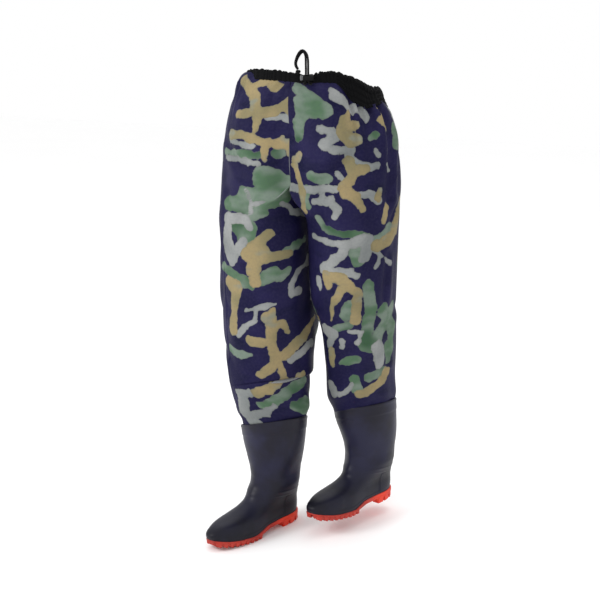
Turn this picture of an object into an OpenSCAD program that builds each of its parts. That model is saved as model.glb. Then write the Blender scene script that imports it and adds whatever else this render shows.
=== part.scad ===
// Waist-high waders: coated-fabric legs welded to moulded boots, with an elastic drawcord waist.
// Millimetres, +Z up, toes towards -Y, the wearer's left at +X, origin in the middle of the waist opening.

/* [Waist] */
// Half width of the waist rim
rim_half_width = 168; // [150:1:185]
// Half depth of the waist rim
rim_half_depth = 118; // [105:1:130]
// Turn of the waist and seat about the vertical, in degrees
waist_turn = 6; // [0:1:10]
// How far the rim sags at the wearer's left side
left_sag = 45; // [0:1:50]
// How far the rim sags at the wearer's right side
right_sag = 16; // [0:1:30]
// How far the rim sags at the back
back_sag = 22; // [0:1:30]
// Height of the narrow drawcord casing at the front
front_band_height = 22; // [20:1:30]
// Height of the wide elastic casing at the sides and back
back_band_height = 55; // [45:1:65]
// Angle that the narrow casing spans to each side of the front
front_band_angle = 36; // [25:1:45]

/* [Fabric] */
// Thickness of the coated fabric with its seam allowance
fabric_thickness = 2; // [1.5:0.1:2.5]
// Thickness of the seam tape
tape_thickness = 0.8; // [0.5:0.1:1]
// Width of the seam tape
tape_width = 20; // [12:1:26]

/* [Joints] */
// Height of both hip axes below the rim
hip_drop = 220; // [200:5:240]
// Height of the right knee axis below the rim
right_knee_drop = 645; // [630:5:660]
// Height of the left knee axis below the rim
left_knee_drop = 612; // [600:4:624]

/* [Boots] */
// Length of the outsole
sole_length = 316; // [290:2:320]
// Height of the boot above the ground
boot_height = 275; // [260:5:290]
// Wall thickness of the moulded boot
boot_wall = 3.5; // [3:0.5:4.5]
// Height of the welded band at the top of the boot
cuff_height = 28; // [20:1:35]
// Height of the outsole's tread blocks
tread_height = 16; // [12:1:20]
// Distance from the rim down to the right sole
right_sole_drop = 1146; // [1136:5:1156]
// Distance from the rim down to the left sole
left_sole_drop = 1092; // [1084:1:1100]
// Turn of both boots about the vertical, in degrees
boot_turn = -14; // [-16:1:-10]
// How far the left boot's top leans forwards
left_lean = 24; // [16:1:28]

/* [Drawcord] */
// Diameter of the drawcord
cord_d = 5; // [4:0.5:5]
// Angle round the rim, from the front, at which the cord comes out
cord_angle = 13; // [8:1:16]
// Outer diameter of the cord lock's barrel
lock_d = 13; // [12.6:0.1:13]
// Diameter of the cord lock's plunger
plunger_d = 9.6; // [9:0.1:9.6]
// How far the plunger can be pressed in
plunger_travel = 3; // [1:0.5:3]

/* [Hidden] */
$fn = 48;

camo = "#4d5a4c";
band_black = "#141414";
boot_navy = "#33323c";
sole_red = "#d9482f";
plastic_grey = "#8d8f90";
lining_grey = "#6d6f73";

clear = 0.4;            // gap between layers that only lie against each other
cut_gap = 1.8;          // gap at a cut across one panel of fabric
tape_gap = 1.2;         // gap between the seam tape and the fabric
degrees_per_radian = 180 / PI;
tube_sides = 32;        // points round a leg
seat_steps = 14;        // steps round a quarter of the seat
seat_bottom = -120;     // lower edge of the rigid seat panels
crotch_z = -255;        // where the legs part
top_of_leg = -340;      // below this a leg is a plain oval tube
straight_turn = -300;   // the turn of the seat would fade to nothing at this height
hip_reach = 200;        // the thigh starts to hold its shape this far below the hip axis
knee_above = 100;       // the thigh holds its shape down to this far above the knee axis
knee_below = 145;       // the lower leg holds its shape from this far below the knee axis
thigh_top = -hip_drop - hip_reach;
tuck = 25;              // the fabric is welded this far inside the boot
casing_half = 5.5;      // half of the casing's thickness
casing_wall = 1.4;
casing_round = 2.5;     // radius of the casing's edges
under_hem = 2;          // the seat's top edge stands out this far from the casing's middle
hem_flare = [0.42, 0.05]; // how much the hem widens to the sides and to the front for each unit of depth

// [z, half width, half depth] of the waist and seat, from the rim down
seat_stations = [
    [0, rim_half_width, rim_half_depth],
    [-24, 180, 126],
    [-40, 192, 131],
    [-60, 200, 135],
    [-120, 213, 141],
    [-200, 221, 145],
    [crotch_z, 224, 146]
];
hip_levels = [seat_bottom - cut_gap, -160, -200, -230, crotch_z];

// [z, centre x, centre y, half width, half depth, turn] down each leg
right_stations = [
    [top_of_leg, -114, -20, 109, 118, 0],
    [-420, -112, -26, 107, 108, 0],
    [-545, -112, -11, 108, 124, 0],
    [-625, -110, 2, 107, 138, -3],
    [-700, -107, -5, 103, 126, -6],
    [-745, -105, -6, 102, 122, -8],
    [-748, -101, -20, 95, 112, -9],
    [-790, -98, -22, 92, 108, -11],
    [-852, -91, -25, 87, 98, boot_turn],
    [-866, -87, -24, 80, 87, boot_turn]
];
left_stations = [
    [top_of_leg, 113, 12, 108, 118, 0],
    [-420, 110, 22, 106, 110, 0],
    [-545, 104, 34, 99, 105, 0],
    [-625, 102, 66, 88, 101, -4],
    [-715, 100, 86, 81, 95, -8],
    [-757, 97, 98, 80, 93, -11],
    [-800, 92, 112, 80, 94, boot_turn],
    [-812, 87, 122, 75, 86, boot_turn]
];

// [x, y, z] of each boot's ankle on the ground, and [half width, half depth, lean] of its top
right_boot_at = [-87, -24, -right_sole_drop];
left_boot_at = [94, 148, -left_sole_drop];
right_shaft = [80, 87, 0];
left_shaft = [76, 86, left_lean];

// Foot outline: [y, half width]; the heel is at +y
heel_end = sole_length * 0.24;
toe_end = sole_length * 0.76;
foot_widths = [
    [-toe_end, 41], [-180, 49], [-135, 51], [-60, 41], [0, 36], [40, 37], [heel_end, 35]
];
// [height, reach forwards, reach backwards, share of the foot's width, share of the shaft's roundness]
foot_rings = [
    [25, toe_end - 6, 69, 0.96, 0],
    [38, toe_end - 3, 71, 0.99, 0],
    [54, toe_end - 18, 72, 0.97, 0],
    [68, toe_end - 66, 71, 0.93, 0.1],
    [80, toe_end - 108, 71, 0.92, 0.3],
    [93, toe_end - 138, 70, 0.95, 0.55],
    [106, 88, 70, 1, 0.8],
    [122, 77, 71, 1, 1],
    [142, 72, 73, 1, 1]
];
// [height, share of the top's reach forwards, of its reach backwards, of its width] above the ankle
shaft_rings = [
    [boot_height, 1, 1, 1],
    [235, 0.6, 0.9, 0.8],
    [200, 0.2, 0.75, 0.5],
    [168, 0, 0.45, 0.2]
];
ankle_reach = 70;
ankle_half_width = 56;
sole_top = 25;

// ---- points and surfaces ----

// Faces of a strip between two rows of n points, the first row above the second seen from outside
function strip_faces(a, b, n, wrap) = [
    for (i = [0:(wrap ? n - 1 : n - 2)])
        let (j = (i + 1) % n)
            each [[a + i, a + j, b + j], [a + i, b + j, b + i]]
];

// A sheet of fabric or a tube wall between an outer and an inner grid of points, rows from the top down
module skin(outer, inner, wrap = true) {
    m = len(outer);
    n = len(outer[0]);
    all = m * n;
    sides = wrap ? [] : [
        for (k = [0:m - 2])
            let (o = k * n, p = (k + 1) * n, e = n - 1)
                each [
                    [all + o, o, p], [all + o, p, all + p],
                    [o + e, all + o + e, all + p + e], [o + e, all + p + e, p + e]
                ]
    ];
    polyhedron(
        concat([for (row = outer) each row], [for (row = inner) each row]),
        concat(
            [for (k = [0:m - 2]) each strip_faces(k * n, (k + 1) * n, n, wrap)],
            [for (k = [0:m - 2]) each strip_faces(all + (k + 1) * n, all + k * n, n, wrap)],
            strip_faces(all, 0, n, wrap),
            strip_faces((m - 1) * n, all + (m - 1) * n, n, wrap),
            sides
        )
    );
}

// A vessel with a closed bottom between an outer and an inner stack of rings, from the top down
module cup(outer, inner) {
    m = len(outer);
    n = len(outer[0]);
    all = m * n;
    under = 2 * all;
    over = under + 1;
    polyhedron(
        concat(
            [for (row = outer) each row], [for (row = inner) each row],
            [middle(outer[m - 1]), middle(inner[m - 1])]
        ),
        concat(
            [for (k = [0:m - 2]) each strip_faces(k * n, (k + 1) * n, n, true)],
            [for (k = [0:m - 2]) each strip_faces(all + (k + 1) * n, all + k * n, n, true)],
            strip_faces(all, 0, n, true),
            [for (i = [0:n - 1]) [(m - 1) * n + i, (m - 1) * n + (i + 1) % n, under]],
            [for (i = [0:n - 1]) [all + (m - 1) * n + (i + 1) % n, all + (m - 1) * n + i, over]]
        )
    );
}

// A solid rod through a list of rings
module rod(rings) {
    m = len(rings);
    n = len(rings[0]);
    polyhedron(
        concat([for (row = rings) each row], [middle(rings[0]), middle(rings[m - 1])]),
        concat(
            [for (k = [0:m - 2]) each strip_faces(k * n, (k + 1) * n, n, true)],
            [for (i = [0:n - 1]) [(i + 1) % n, i, m * n]],
            [for (i = [0:n - 1]) [(m - 1) * n + i, (m - 1) * n + (i + 1) % n, m * n + 1]]
        )
    );
}

function total(v, i = 0) = i == len(v) - 1 ? v[i] : v[i] + total(v, i + 1);
function middle(ring) = total(ring) / len(ring);
function unit(v) = v / norm(v);
function turned(p, a) = [p.x * cos(a) - p.y * sin(a), p.x * sin(a) + p.y * cos(a)];

// Smooth curve through the points of a route, with steps points in each span
function curve_point(a, b, c, d, u) =
    0.5 * (2 * b + (c - a) * u + (2 * a - 5 * b + 4 * c - d) * u * u + (3 * b - a - 3 * c + d) * u * u * u);
function smooth_route(p, steps) = [
    for (k = [0:len(p) - 2])
        for (s = [0:(k == len(p) - 2 ? steps : steps - 1)])
            curve_point(p[max(k - 1, 0)], p[k], p[k + 1], p[min(k + 2, len(p) - 1)], s / steps)
];

// Direction of a route at each of its points, and a side vector carried along without twisting
function heading(p, k) = unit(p[min(k + 1, len(p) - 1)] - p[max(k - 1, 0)]);
function side_on(v, d) = unit(v - (v * d) * d);
function cord_rings(p, r, sides, start) =
    let (first = side_on(start, heading(p, 0)))
        [for (k = 0, v = first; k < len(p); k = k + 1, v = k < len(p) ? side_on(v, heading(p, k)) : v)
            let (w = cross(heading(p, k), v))
                [for (i = [0:sides - 1]) p[k] + r * (cos(i * 360 / sides) * v + sin(i * 360 / sides) * w)]];

module cord(route, d, steps, sides, start) {
    rod(cord_rings(smooth_route(route, steps), d / 2, sides, start));
}

// ---- waist and seat ----

// The stations run downwards, and lookup() wants rising keys
function station(table, z, column) = lookup(-z, [for (s = table) [-s[0], s[column]]]);

// How far the garment sags at a point, fading to nothing at the crotch
function sag(x, y, z) =
    let (
        left = left_sag * pow(min(1, max(0, x) / rim_half_width), 3),
        right = right_sag * pow(min(1, max(0, -x) / rim_half_width), 3),
        back = back_sag * pow(min(1, max(0, y) / rim_half_depth), 2)
    )
        max(left + right, back) * max(0, 1 - z / crotch_z);

function seat_point(z, angle, inset) =
    let (
        a = station(seat_stations, z, 1) - inset,
        b = station(seat_stations, z, 2) - inset,
        p = turned([a * sin(angle), -b * cos(angle)], waist_turn * (1 - min(0, z) / straight_turn))
    )
        [p.x, p.y, z - sag(p.x, p.y, z)];

function seat_grid(levels, from, to, inset, steps) = [
    for (z = levels) [for (k = [0:steps]) seat_point(z, from + (to - from) * k / steps, inset)]
];

// A seat panel hangs from the hem: its top row is gathered in under it
module seat_panel(angles) {
    color(camo) skin(seat_rows(angles, 0), seat_rows(angles, fabric_thickness), false);
}

function seat_rows(angles, inset) = concat(
    [[for (a = angles) hem_point(a, under_hem - inset, hem_bottom(a) - cut_gap)]],
    [for (part = [0.3, 0.65, 1]) [
        for (a = angles)
            let (top = hem_bottom(a) - cut_gap)
                seat_point(top + (seat_bottom - top) * part, a, inset)
    ]]
);

// The hem is narrow at the front and wide elsewhere
function hem_bottom(angle) = abs(angle) < front_band_angle ? -front_band_height : -back_band_height;

panel_gap = 0.15; // half of the gap between neighbouring panels, in degrees

// Angles from the front seam to the side, with the step of the hem between two of them
front_angles = concat(
    [for (k = [0:6]) panel_gap + (front_band_angle - 2 * panel_gap) * k / 6],
    [for (k = [0:8]) front_band_angle + panel_gap + (90 - front_band_angle - 2 * panel_gap) * k / 8]
);
back_angles = [for (k = [0:seat_steps]) 90 + panel_gap + (90 - 2 * panel_gap) * k / seat_steps];
front_steps = len(front_angles) - 1;

module seat_front_right() seat_panel([for (k = [front_steps:-1:0]) -front_angles[k]]);
module seat_front_left() seat_panel(front_angles);
module seat_back_right() seat_panel([for (k = [seat_steps:-1:0]) 360 - back_angles[k]]);
module seat_back_left() seat_panel(back_angles);

module seam_tape(angle) {
    half = tape_width / 2 / rim_half_width * degrees_per_radian;
    angles = [for (k = [-2:2]) angle + half * k / 2];
    inset = fabric_thickness + tape_gap;
    color(lining_grey) skin(seat_rows(angles, inset), seat_rows(angles, inset + tape_thickness), false);
}

module front_seam_tape() seam_tape(0);
module back_seam_tape() seam_tape(180);

// Hollow hem: each ring is the hem's section at one angle round the rim
function hem_ring(angle, height, inset) =
    let (
        half = casing_half - inset,
        top = -inset,
        bottom = -height + inset,
        r = casing_round - inset / 2
    )
        [for (c = [
            [half - r, top], [half, top - r], [half, bottom + r], [half - r, bottom],
            [-half + r, bottom], [-half, bottom + r], [-half, top - r], [-half + r, top]
        ]) hem_point(angle, c[0], c[1])];

// A point of the hem: out is measured from the middle of the casing, z from the rim
function hem_point(angle, out, z) =
    let (
        wider = max(0, -z) * hem_flare.x,
        deeper = max(0, -z) * hem_flare.y,
        p = turned(
            [(rim_half_width + wider + out) * sin(angle), -(rim_half_depth + deeper + out) * cos(angle)],
            waist_turn
        )
    )
        [p.x, p.y, z - sag(p.x, p.y, z)];

module hem(from, to, steps, height) {
    angles = [for (k = [0:steps]) from + (to - from) * k / steps];
    color(band_black) skin(
        [for (a = angles) hem_ring(a, height, 0)],
        [for (a = angles) hem_ring(a, height, casing_wall)]
    );
}

module waistband_front_casing() {
    difference() {
        hem(-front_band_angle + panel_gap, front_band_angle - panel_gap, 16, front_band_height);
        for (u = eyelet_us)
            at_exit() translate([u, -casing_half - 3, eyelet_z])
                rotate([-90, 0, 0]) cylinder(d = cord_d + 2.2, h = 6, $fn = 24);
    }
}

module waistband_elastic_casing() {
    hem(front_band_angle + panel_gap, 360 - front_band_angle - panel_gap, 52, back_band_height);
}

// Flat elastic inside the wide casing, below the cord
module waist_elastic() {
    angles = [for (k = [0:40]) front_band_angle + 1 + (358 - 2 * front_band_angle) * k / 40];
    levels = [-17, -33, -50];
    color("#202022") skin(
        [for (z = levels) [for (a = angles) hem_point(a, 0.7, z)]],
        [for (z = levels) [for (a = angles) hem_point(a, -0.7, z)]],
        false
    );
}

// ---- drawcord and its lock ----

exit_xy = turned([rim_half_width * sin(cord_angle), -rim_half_depth * cos(cord_angle)], waist_turn);
exit_turn = waist_turn + atan2(rim_half_depth * sin(cord_angle), rim_half_width * cos(cord_angle));
exit_at = [exit_xy.x, exit_xy.y, -sag(exit_xy.x, exit_xy.y, 0)];

module at_exit() translate(exit_at) rotate([0, 0, exit_turn]) children();

// A route point given as [along the rim, outwards, up] from the cord's exit
function from_exit(p) =
    let (q = turned([p[0], -p[1]], exit_turn))
        [exit_at.x + q.x, exit_at.y + q.y, exit_at.z + p[2]];

lock_at = [4, 13, -5];      // middle of the cord lock, in the exit's own frame
strand = 2.75;              // each cord lies this far from the lock's middle
eyelet_z = -17;
eyelet_us = [lock_at[0] - 6.5, lock_at[0] + 6.5];
run_depth = -8;             // depth of the cord in its casing
run_end_depth = -13;        // its depth where it turns to an eyelet
run_out = 0.5;              // how far outside the middle of the casing it lies

right_end_route = [
    [-9, 0, -13], [-3.5, 0.5, -16.5], [-2.5, 5, -17], [-2.5, 9, -17], [-0.5, 12.2, -15],
    [1.25, 13, -11], [1.25, 13, 0], [1.25, 13, 14], [0.8, 12, 23], [0, 9, 34],
    [-2, 5.5, 45], [-7, 3.5, 51.5], [-13, 3.5, 48], [-19, 4, 39], [-23, 4.2, 29],
    [-22.5, 4.2, 20], [-18, 4.2, 12.5]
];
left_end_route = [
    [17, 0, -13], [11.5, 0.5, -16.5], [10.5, 5, -17], [10.5, 9, -17], [8.5, 12.2, -15],
    [6.75, 13, -11], [6.75, 13, 0], [6.75, 13, 14], [7, 12, 23], [7, 9.5, 34],
    [4, 8, 46], [-1, 7.5, 54.5], [-8, 8, 58], [-15, 9, 53], [-21, 10, 42],
    [-24.5, 10.2, 29], [-23, 10.2, 20], [-18, 10, 12.5]
];
knot_at = [-18, 7.1, 7];

module cord_end(route) {
    color(band_black) cord([for (p = route) from_exit(p)], cord_d, 3, 8, [0.3, 0.2, 1]);
}

module drawcord_right_end() cord_end(right_end_route);
module drawcord_left_end() cord_end(left_end_route);

// The cord goes round the waist inside the casing, from one eyelet to the other
module drawcord_run() {
    from = cord_angle + left_end_route[0][0] / rim_half_width * degrees_per_radian;
    to = 360 + cord_angle + right_end_route[0][0] / rim_half_width * degrees_per_radian;
    steps = 64;
    route = [
        for (k = [0:steps])
            let (depth = k == 0 || k == steps ? run_end_depth : run_depth)
                hem_point(from + (to - from) * k / steps, run_out, depth)
    ];
    color(band_black) rod(cord_rings(route, cord_d / 2, 8, [0, 0, 1]));
}

module drawcord_knot() {
    color(band_black) translate(from_exit(knot_at)) sphere(d = cord_d * 2.2);
}

module drawcord_eyelets() {
    color(plastic_grey) for (u = eyelet_us)
        at_exit() translate([u, -casing_half - 0.6, eyelet_z]) rotate([90, 0, 0]) difference() {
            union() {
                translate([0, 0, -casing_wall - 1]) cylinder(d = cord_d + 1.6, h = casing_wall + 1.6);
                translate([0, 0, 0.5]) cylinder(d = cord_d + 4, h = 0.9);
            }
            translate([0, 0, -4]) cylinder(d = cord_d + 0.5, h = 10);
        }
}

lock_knob_end = -8.5;   // open end of the barrel, measured along it
lock_closed_end = 16;
spring_seat = 14;
slot_half = strand + cord_d / 2 + 0.4;
slot_width = cord_d + 0.8;

// Everything on the lock is drawn along +Z, which lies along the rim
module along_lock() {
    at_exit() translate([lock_at[0], -lock_at[1], lock_at[2]]) rotate([0, 90, 0]) children();
}

// Passage for both cords, across the barrel
module cord_slot(from, to, width) {
    translate([-lock_d, -width / 2, from]) cube([2 * lock_d, width, to - from]);
}

module cord_lock_barrel() {
    color(band_black) along_lock() difference() {
        translate([0, 0, lock_knob_end]) cylinder(d = lock_d, h = lock_closed_end - lock_knob_end);
        translate([0, 0, lock_knob_end - 1])
            cylinder(d = plunger_d + 0.1, h = spring_seat - lock_knob_end + 1);
        cord_slot(-slot_half, slot_half, slot_width);
    }
}

module cord_lock_plunger() {
    color(plastic_grey) along_lock() difference() {
        union() {
            translate([0, 0, -12.5]) cylinder(d = plunger_d, h = 20);
            translate([0, 0, -15]) cylinder(d = lock_d - 1.4, h = 3);
        }
        cord_slot(-slot_half - plunger_travel, slot_half, slot_width);
    }
}

module cord_lock_spring() {
    turns = 4;
    wire = 0.8;
    coil_r = plunger_d / 2 - 1;
    low = 7.5 + wire / 2 + 0.2;
    high = spring_seat - wire / 2 - 0.2;
    route = [
        for (k = [0:turns * 12])
            [coil_r * cos(k * 30), coil_r * sin(k * 30), low + (high - low) * k / (turns * 12)]
    ];
    color("silver") along_lock() rod(cord_rings(route, wire / 2, 6, [0, 0, 1]));
}

// ---- legs ----

function leg_point(table, z, angle, inset) =
    let (
        a = station(table, z, 3) - inset,
        b = station(table, z, 4) - inset,
        p = turned([a * sin(angle), -b * cos(angle)], station(table, z, 5))
    )
        [station(table, z, 1) + p.x, station(table, z, 2) + p.y, z];

function leg_ring(table, z, inset) =
    [for (i = [0:tube_sides - 1]) leg_point(table, z, i * 360 / tube_sides, inset)];

// Levels from top to bottom with the stations that lie between them
function levels_between(table, top, bottom) =
    concat([top], [for (s = table) if (s[0] < top - 2 && s[0] > bottom + 2) s[0]], [bottom]);

module leg_tube(table, top, bottom) {
    levels = levels_between(table, top, bottom);
    color(camo) skin(
        [for (z = levels) leg_ring(table, z, 0)],
        [for (z = levels) leg_ring(table, z, fabric_thickness)]
    );
}

// Top of a leg at the crotch: half of the seat's outline outside, a nearly straight inseam inside
function crotch_ring(side, inset) = [
    for (i = [0:tube_sides - 1])
        let (
            angle = i * 360 / tube_sides,
            outside = side * sin(angle) >= -0.01,
            seat = seat_point(crotch_z, angle, inset),
            inseam_y = -station(seat_stations, crotch_z, 2) * cos(angle) * (1 - inset / gusset_reach),
            inseam_x = side * (3 + inset + gusset_half * (1 - pow(inseam_y / gusset_reach, 2)))
        )
            outside && side * seat.x > side * inseam_x
                ? [seat.x, seat.y, crotch_z]
                : [inseam_x, inseam_y, crotch_z]
];
gusset_half = 12;       // half of the gap between the legs at the crotch
gusset_reach = 150;     // how far that gap runs to the front and to the back

// Fabric that bends at the hip: a half shell of the seat, then a tube that rounds into the leg
module hip_fabric(side, table) {
    from = side > 0 ? 0.15 : 180.15;
    to = side > 0 ? 179.85 : 359.85;
    steps = 2 * seat_steps;
    color(camo) skin(
        seat_grid(hip_levels, from, to, 0, steps),
        seat_grid(hip_levels, from, to, fabric_thickness, steps),
        false
    );
    color(camo) skin(
        concat([crotch_ring_below(side, 0)], [for (z = [top_of_leg, thigh_top]) leg_ring(table, z, 0)]),
        concat(
            [crotch_ring_below(side, fabric_thickness)],
            [for (z = [top_of_leg, thigh_top]) leg_ring(table, z, fabric_thickness)]
        )
    );
}
function crotch_ring_below(side, inset) = [for (p = crotch_ring(side, inset)) [p.x, p.y, p.z - 0.2]];

// The lower leg's fabric ends inside the boot's top
module lower_leg(table, top, place, shaft) {
    inside = boot_wall + clear;
    levels = levels_between(table, top, place.z + boot_height + 4);
    color(camo) skin(
        concat(
            [for (z = levels) leg_ring(table, z, 0)],
            [for (depth = [-0.8, tuck]) welded_ring(place, shaft, depth, inside)]
        ),
        concat(
            [for (z = levels) leg_ring(table, z, fabric_thickness)],
            [for (depth = [-0.8, tuck]) welded_ring(place, shaft, depth, inside + fabric_thickness)]
        )
    );
}

// Ring against the inside of the boot's top, a given depth below its rim
function welded_ring(place, shaft, depth, inset) =
    let (share = depth / (shaft_rings[0][0] - shaft_rings[1][0]),
        r = shaft_rings[0] + (shaft_rings[1] - shaft_rings[0]) * share)
        [for (q = shaft_oval(shaft, r, inset))
            let (p = turned(q, boot_turn)) [place.x + p.x, place.y + p.y, place.z + boot_height - depth]];

module leg_seam_tape(table, side, bottom) {
    half = tape_width / 2 / station(table, thigh_top, 4) * degrees_per_radian;
    levels = [thigh_top - 2, (thigh_top + bottom) / 2, bottom + 2];
    angles = [for (k = [-2:2]) side * 90 + half * k / 2];
    inset = fabric_thickness + tape_gap;
    color(lining_grey) skin(
        [for (z = levels) [for (a = angles) leg_point(table, z, a, inset)]],
        [for (z = levels) [for (a = angles) leg_point(table, z, a, inset + tape_thickness)]],
        false
    );
}

right_thigh_end = -right_knee_drop + knee_above;
right_lower_start = -right_knee_drop - knee_below;
left_thigh_end = -left_knee_drop + knee_above;
left_lower_start = -left_knee_drop - knee_below;

module right_hip_fabric() hip_fabric(-1, right_stations);
module right_thigh_fabric() leg_tube(right_stations, thigh_top - 0.2, right_thigh_end);
module right_knee_fabric() leg_tube(right_stations, right_thigh_end - 0.2, right_lower_start);
module right_lower_leg_fabric()
    lower_leg(right_stations, right_lower_start - 0.2, right_boot_at, right_shaft);
module right_leg_seam_tape() leg_seam_tape(right_stations, -1, right_thigh_end);
module left_hip_fabric() hip_fabric(1, left_stations);
module left_thigh_fabric() leg_tube(left_stations, thigh_top - 0.2, left_thigh_end);
module left_knee_fabric() leg_tube(left_stations, left_thigh_end - 0.2, left_lower_start);
module left_lower_leg_fabric() lower_leg(left_stations, left_lower_start - 0.2, left_boot_at, left_shaft);
module left_leg_seam_tape() leg_seam_tape(left_stations, 1, left_thigh_end);

// Narrow leaf-shaped panel between the two legs
module crotch_gusset() {
    steps = 12;
    reach = gusset_reach - 4;
    ys = [for (k = [0:steps]) reach * (2 * k / steps - 1)];
    edge = [for (y = ys) max(1, gusset_half * (1 - pow(y / gusset_reach, 2)) + 1.2)];
    outline = concat(
        [for (k = [0:steps]) [edge[k], ys[k]]],
        [for (k = [steps:-1:0]) [-edge[k], ys[k]]]
    );
    color(camo) translate([0, 0, crotch_z - fabric_thickness - clear])
        linear_extrude(fabric_thickness) polygon(outline);
}

// ---- boots, drawn at the origin with the toes towards -Y ----

module at_boot(place) translate(place) rotate([0, 0, boot_turn]) children();

// A blunt outline low on the foot, a pointed one over the instep
function outline_sin(angle, round) =
    sign(sin(angle)) * pow(abs(sin(angle)), cos(angle) > 0 ? 0.8 + 0.45 * round : 0.85);

function foot_ring(r, inset, side) = [
    for (i = [0:tube_sides - 1])
        let (
            angle = i * 360 / tube_sides,
            reach = (cos(angle) > 0 ? r[1] : r[2]) - inset,
            y = -reach * cos(angle),
            foot = lookup(y, foot_widths) * r[3],
            half = (1 - r[4]) * foot + r[4] * ankle_half_width - inset,
            bend = (1 - r[4]) * side * 5 * sin(min(90, max(0, -y) / toe_end * 90))
        )
            [half * outline_sin(angle, r[4]) - bend, y]
];

// The foot's ring at a height, so that the inside can follow the outside
function foot_at(z) = [for (c = [0:4]) c == 0 ? z : lookup(z, [for (r = foot_rings) [r[0], r[c]]])];

// A shaft is [half width of its top, half depth of its top, how far the top leans forwards]
function shaft_oval(shaft, r, inset) = [
    for (i = [0:tube_sides - 1])
        let (
            angle = i * 360 / tube_sides,
            half = ankle_half_width + (shaft[0] - ankle_half_width) * r[3] - inset,
            share = cos(angle) > 0 ? r[1] : r[2],
            reach = ankle_reach + (shaft[1] - ankle_reach) * share - inset
        )
            [half * sin(angle), -reach * cos(angle) - shaft[2] * r[2]]
];

function boot_stack(shaft, side, inset, floor_z, rise) = concat(
    [for (r = shaft_rings) [for (p = shaft_oval(shaft, r, inset)) [p.x, p.y, r[0]]]],
    [for (k = [len(foot_rings) - 1:-1:0])
        let (z = foot_rings[k][0])
            if (z > floor_z + 2)
                [for (p = foot_ring(foot_at(z + rise), inset, side)) [p.x, p.y, z]]],
    [[for (p = foot_ring(foot_at(floor_z + rise), inset, side)) [p.x, p.y, floor_z]]]
);

module boot_shell(place, shaft, side) {
    color(boot_navy) at_boot(place) cup(
        boot_stack(shaft, side, 0, sole_top, 0),
        boot_stack(shaft, side, boot_wall, sole_top + boot_wall, boot_wall)
    );
}

lining_thickness = 1.5;
lining_gap = 1.2;       // gap between the lining and the boot
lining_top = boot_height - tuck - 4;

module boot_lining(place, shaft, side) {
    inset = boot_wall + lining_gap;
    color(lining_grey) at_boot(place) intersection() {
        cup(
            boot_stack(shaft, side, inset, sole_top + inset, inset),
            boot_stack(shaft, side, inset + lining_thickness, sole_top + inset + lining_thickness,
                inset + lining_thickness)
        );
        translate([-200, -300, 0]) cube([400, 600, lining_top]);
    }
}

module insole(place, side) {
    low = sole_top + boot_wall + lining_gap + lining_thickness + clear;
    inset = boot_wall + lining_gap + lining_thickness + 3;
    color(lining_grey) at_boot(place) translate([0, 0, low])
        linear_extrude(4) polygon(foot_ring(foot_at(sole_top + 6), inset, side));
}

// Welded band round the top, following the shaft between its two upper rings
module boot_cuff(place, shaft) {
    share = cuff_height / (shaft_rings[0][0] - shaft_rings[1][0]);
    low = shaft_rings[0] + (shaft_rings[1] - shaft_rings[0]) * share;
    stands_out = 1.9;
    color(boot_navy) at_boot(place) skin(
        [for (r = [shaft_rings[0], low]) [for (p = shaft_oval(shaft, r, -stands_out)) [p.x, p.y, r[0]]]],
        [for (r = [shaft_rings[0], low]) [for (p = shaft_oval(shaft, r, -clear)) [p.x, p.y, r[0]]]]
    );
}

// Outsole: a plate, a forefoot and a heel, with grooves between the tread blocks
module sole_outline(side) {
    translate([-side * 3, -sole_length * 0.4]) circle(r = 52);
    translate([0, -sole_length * 0.6]) circle(r = sole_length * 0.16);
    translate([0, sole_length * 0.12]) circle(r = sole_length * 0.12);
    polygon([
        [-36, sole_length * 0.12],
        [-side * 3 - 50, -sole_length * 0.36], [-side * 3 - 50, -sole_length * 0.45],
        [-46, -sole_length * 0.62], [46, -sole_length * 0.62], [-side * 3 + 50, -sole_length * 0.45],
        [-side * 3 + 50, -sole_length * 0.36], [36, sole_length * 0.12]
    ]);
}

module tread_grooves() {
    for (y = [-0.7, -0.63, -0.56, -0.49, -0.42, -0.35])
        for (s = [-1, 1])
            translate([s * 50, y * sole_length, -1]) cube([44, 7, 2 * (tread_height - 5)], center = true);
    for (y = [0.04, 0.12, 0.19])
        for (s = [-1, 1])
            translate([s * 40, y * sole_length, -1]) cube([34, 7, 2 * (tread_height - 5)], center = true);
}

module outsole(place, side) {
    plate = sole_top - tread_height - 0.2;
    arch_front = -0.29 * sole_length;
    heel_breast = -0.03 * sole_length;
    color(sole_red) at_boot(place) {
        translate([0, 0, tread_height]) linear_extrude(plate) sole_outline(side);
        difference() {
            linear_extrude(tread_height + 1) sole_outline(side);
            translate([-80, arch_front, -1]) cube([160, heel_breast - arch_front, tread_height + 1]);
            tread_grooves();
        }
    }
}

module right_boot_shell() boot_shell(right_boot_at, right_shaft, -1);
module right_boot_cuff() boot_cuff(right_boot_at, right_shaft);
module right_boot_lining() boot_lining(right_boot_at, right_shaft, -1);
module right_insole() insole(right_boot_at, -1);
module right_outsole() outsole(right_boot_at, -1);
module left_boot_shell() boot_shell(left_boot_at, left_shaft, 1);
module left_boot_cuff() boot_cuff(left_boot_at, left_shaft);
module left_boot_lining() boot_lining(left_boot_at, left_shaft, 1);
module left_insole() insole(left_boot_at, 1);
module left_outsole() outsole(left_boot_at, 1);

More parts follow.
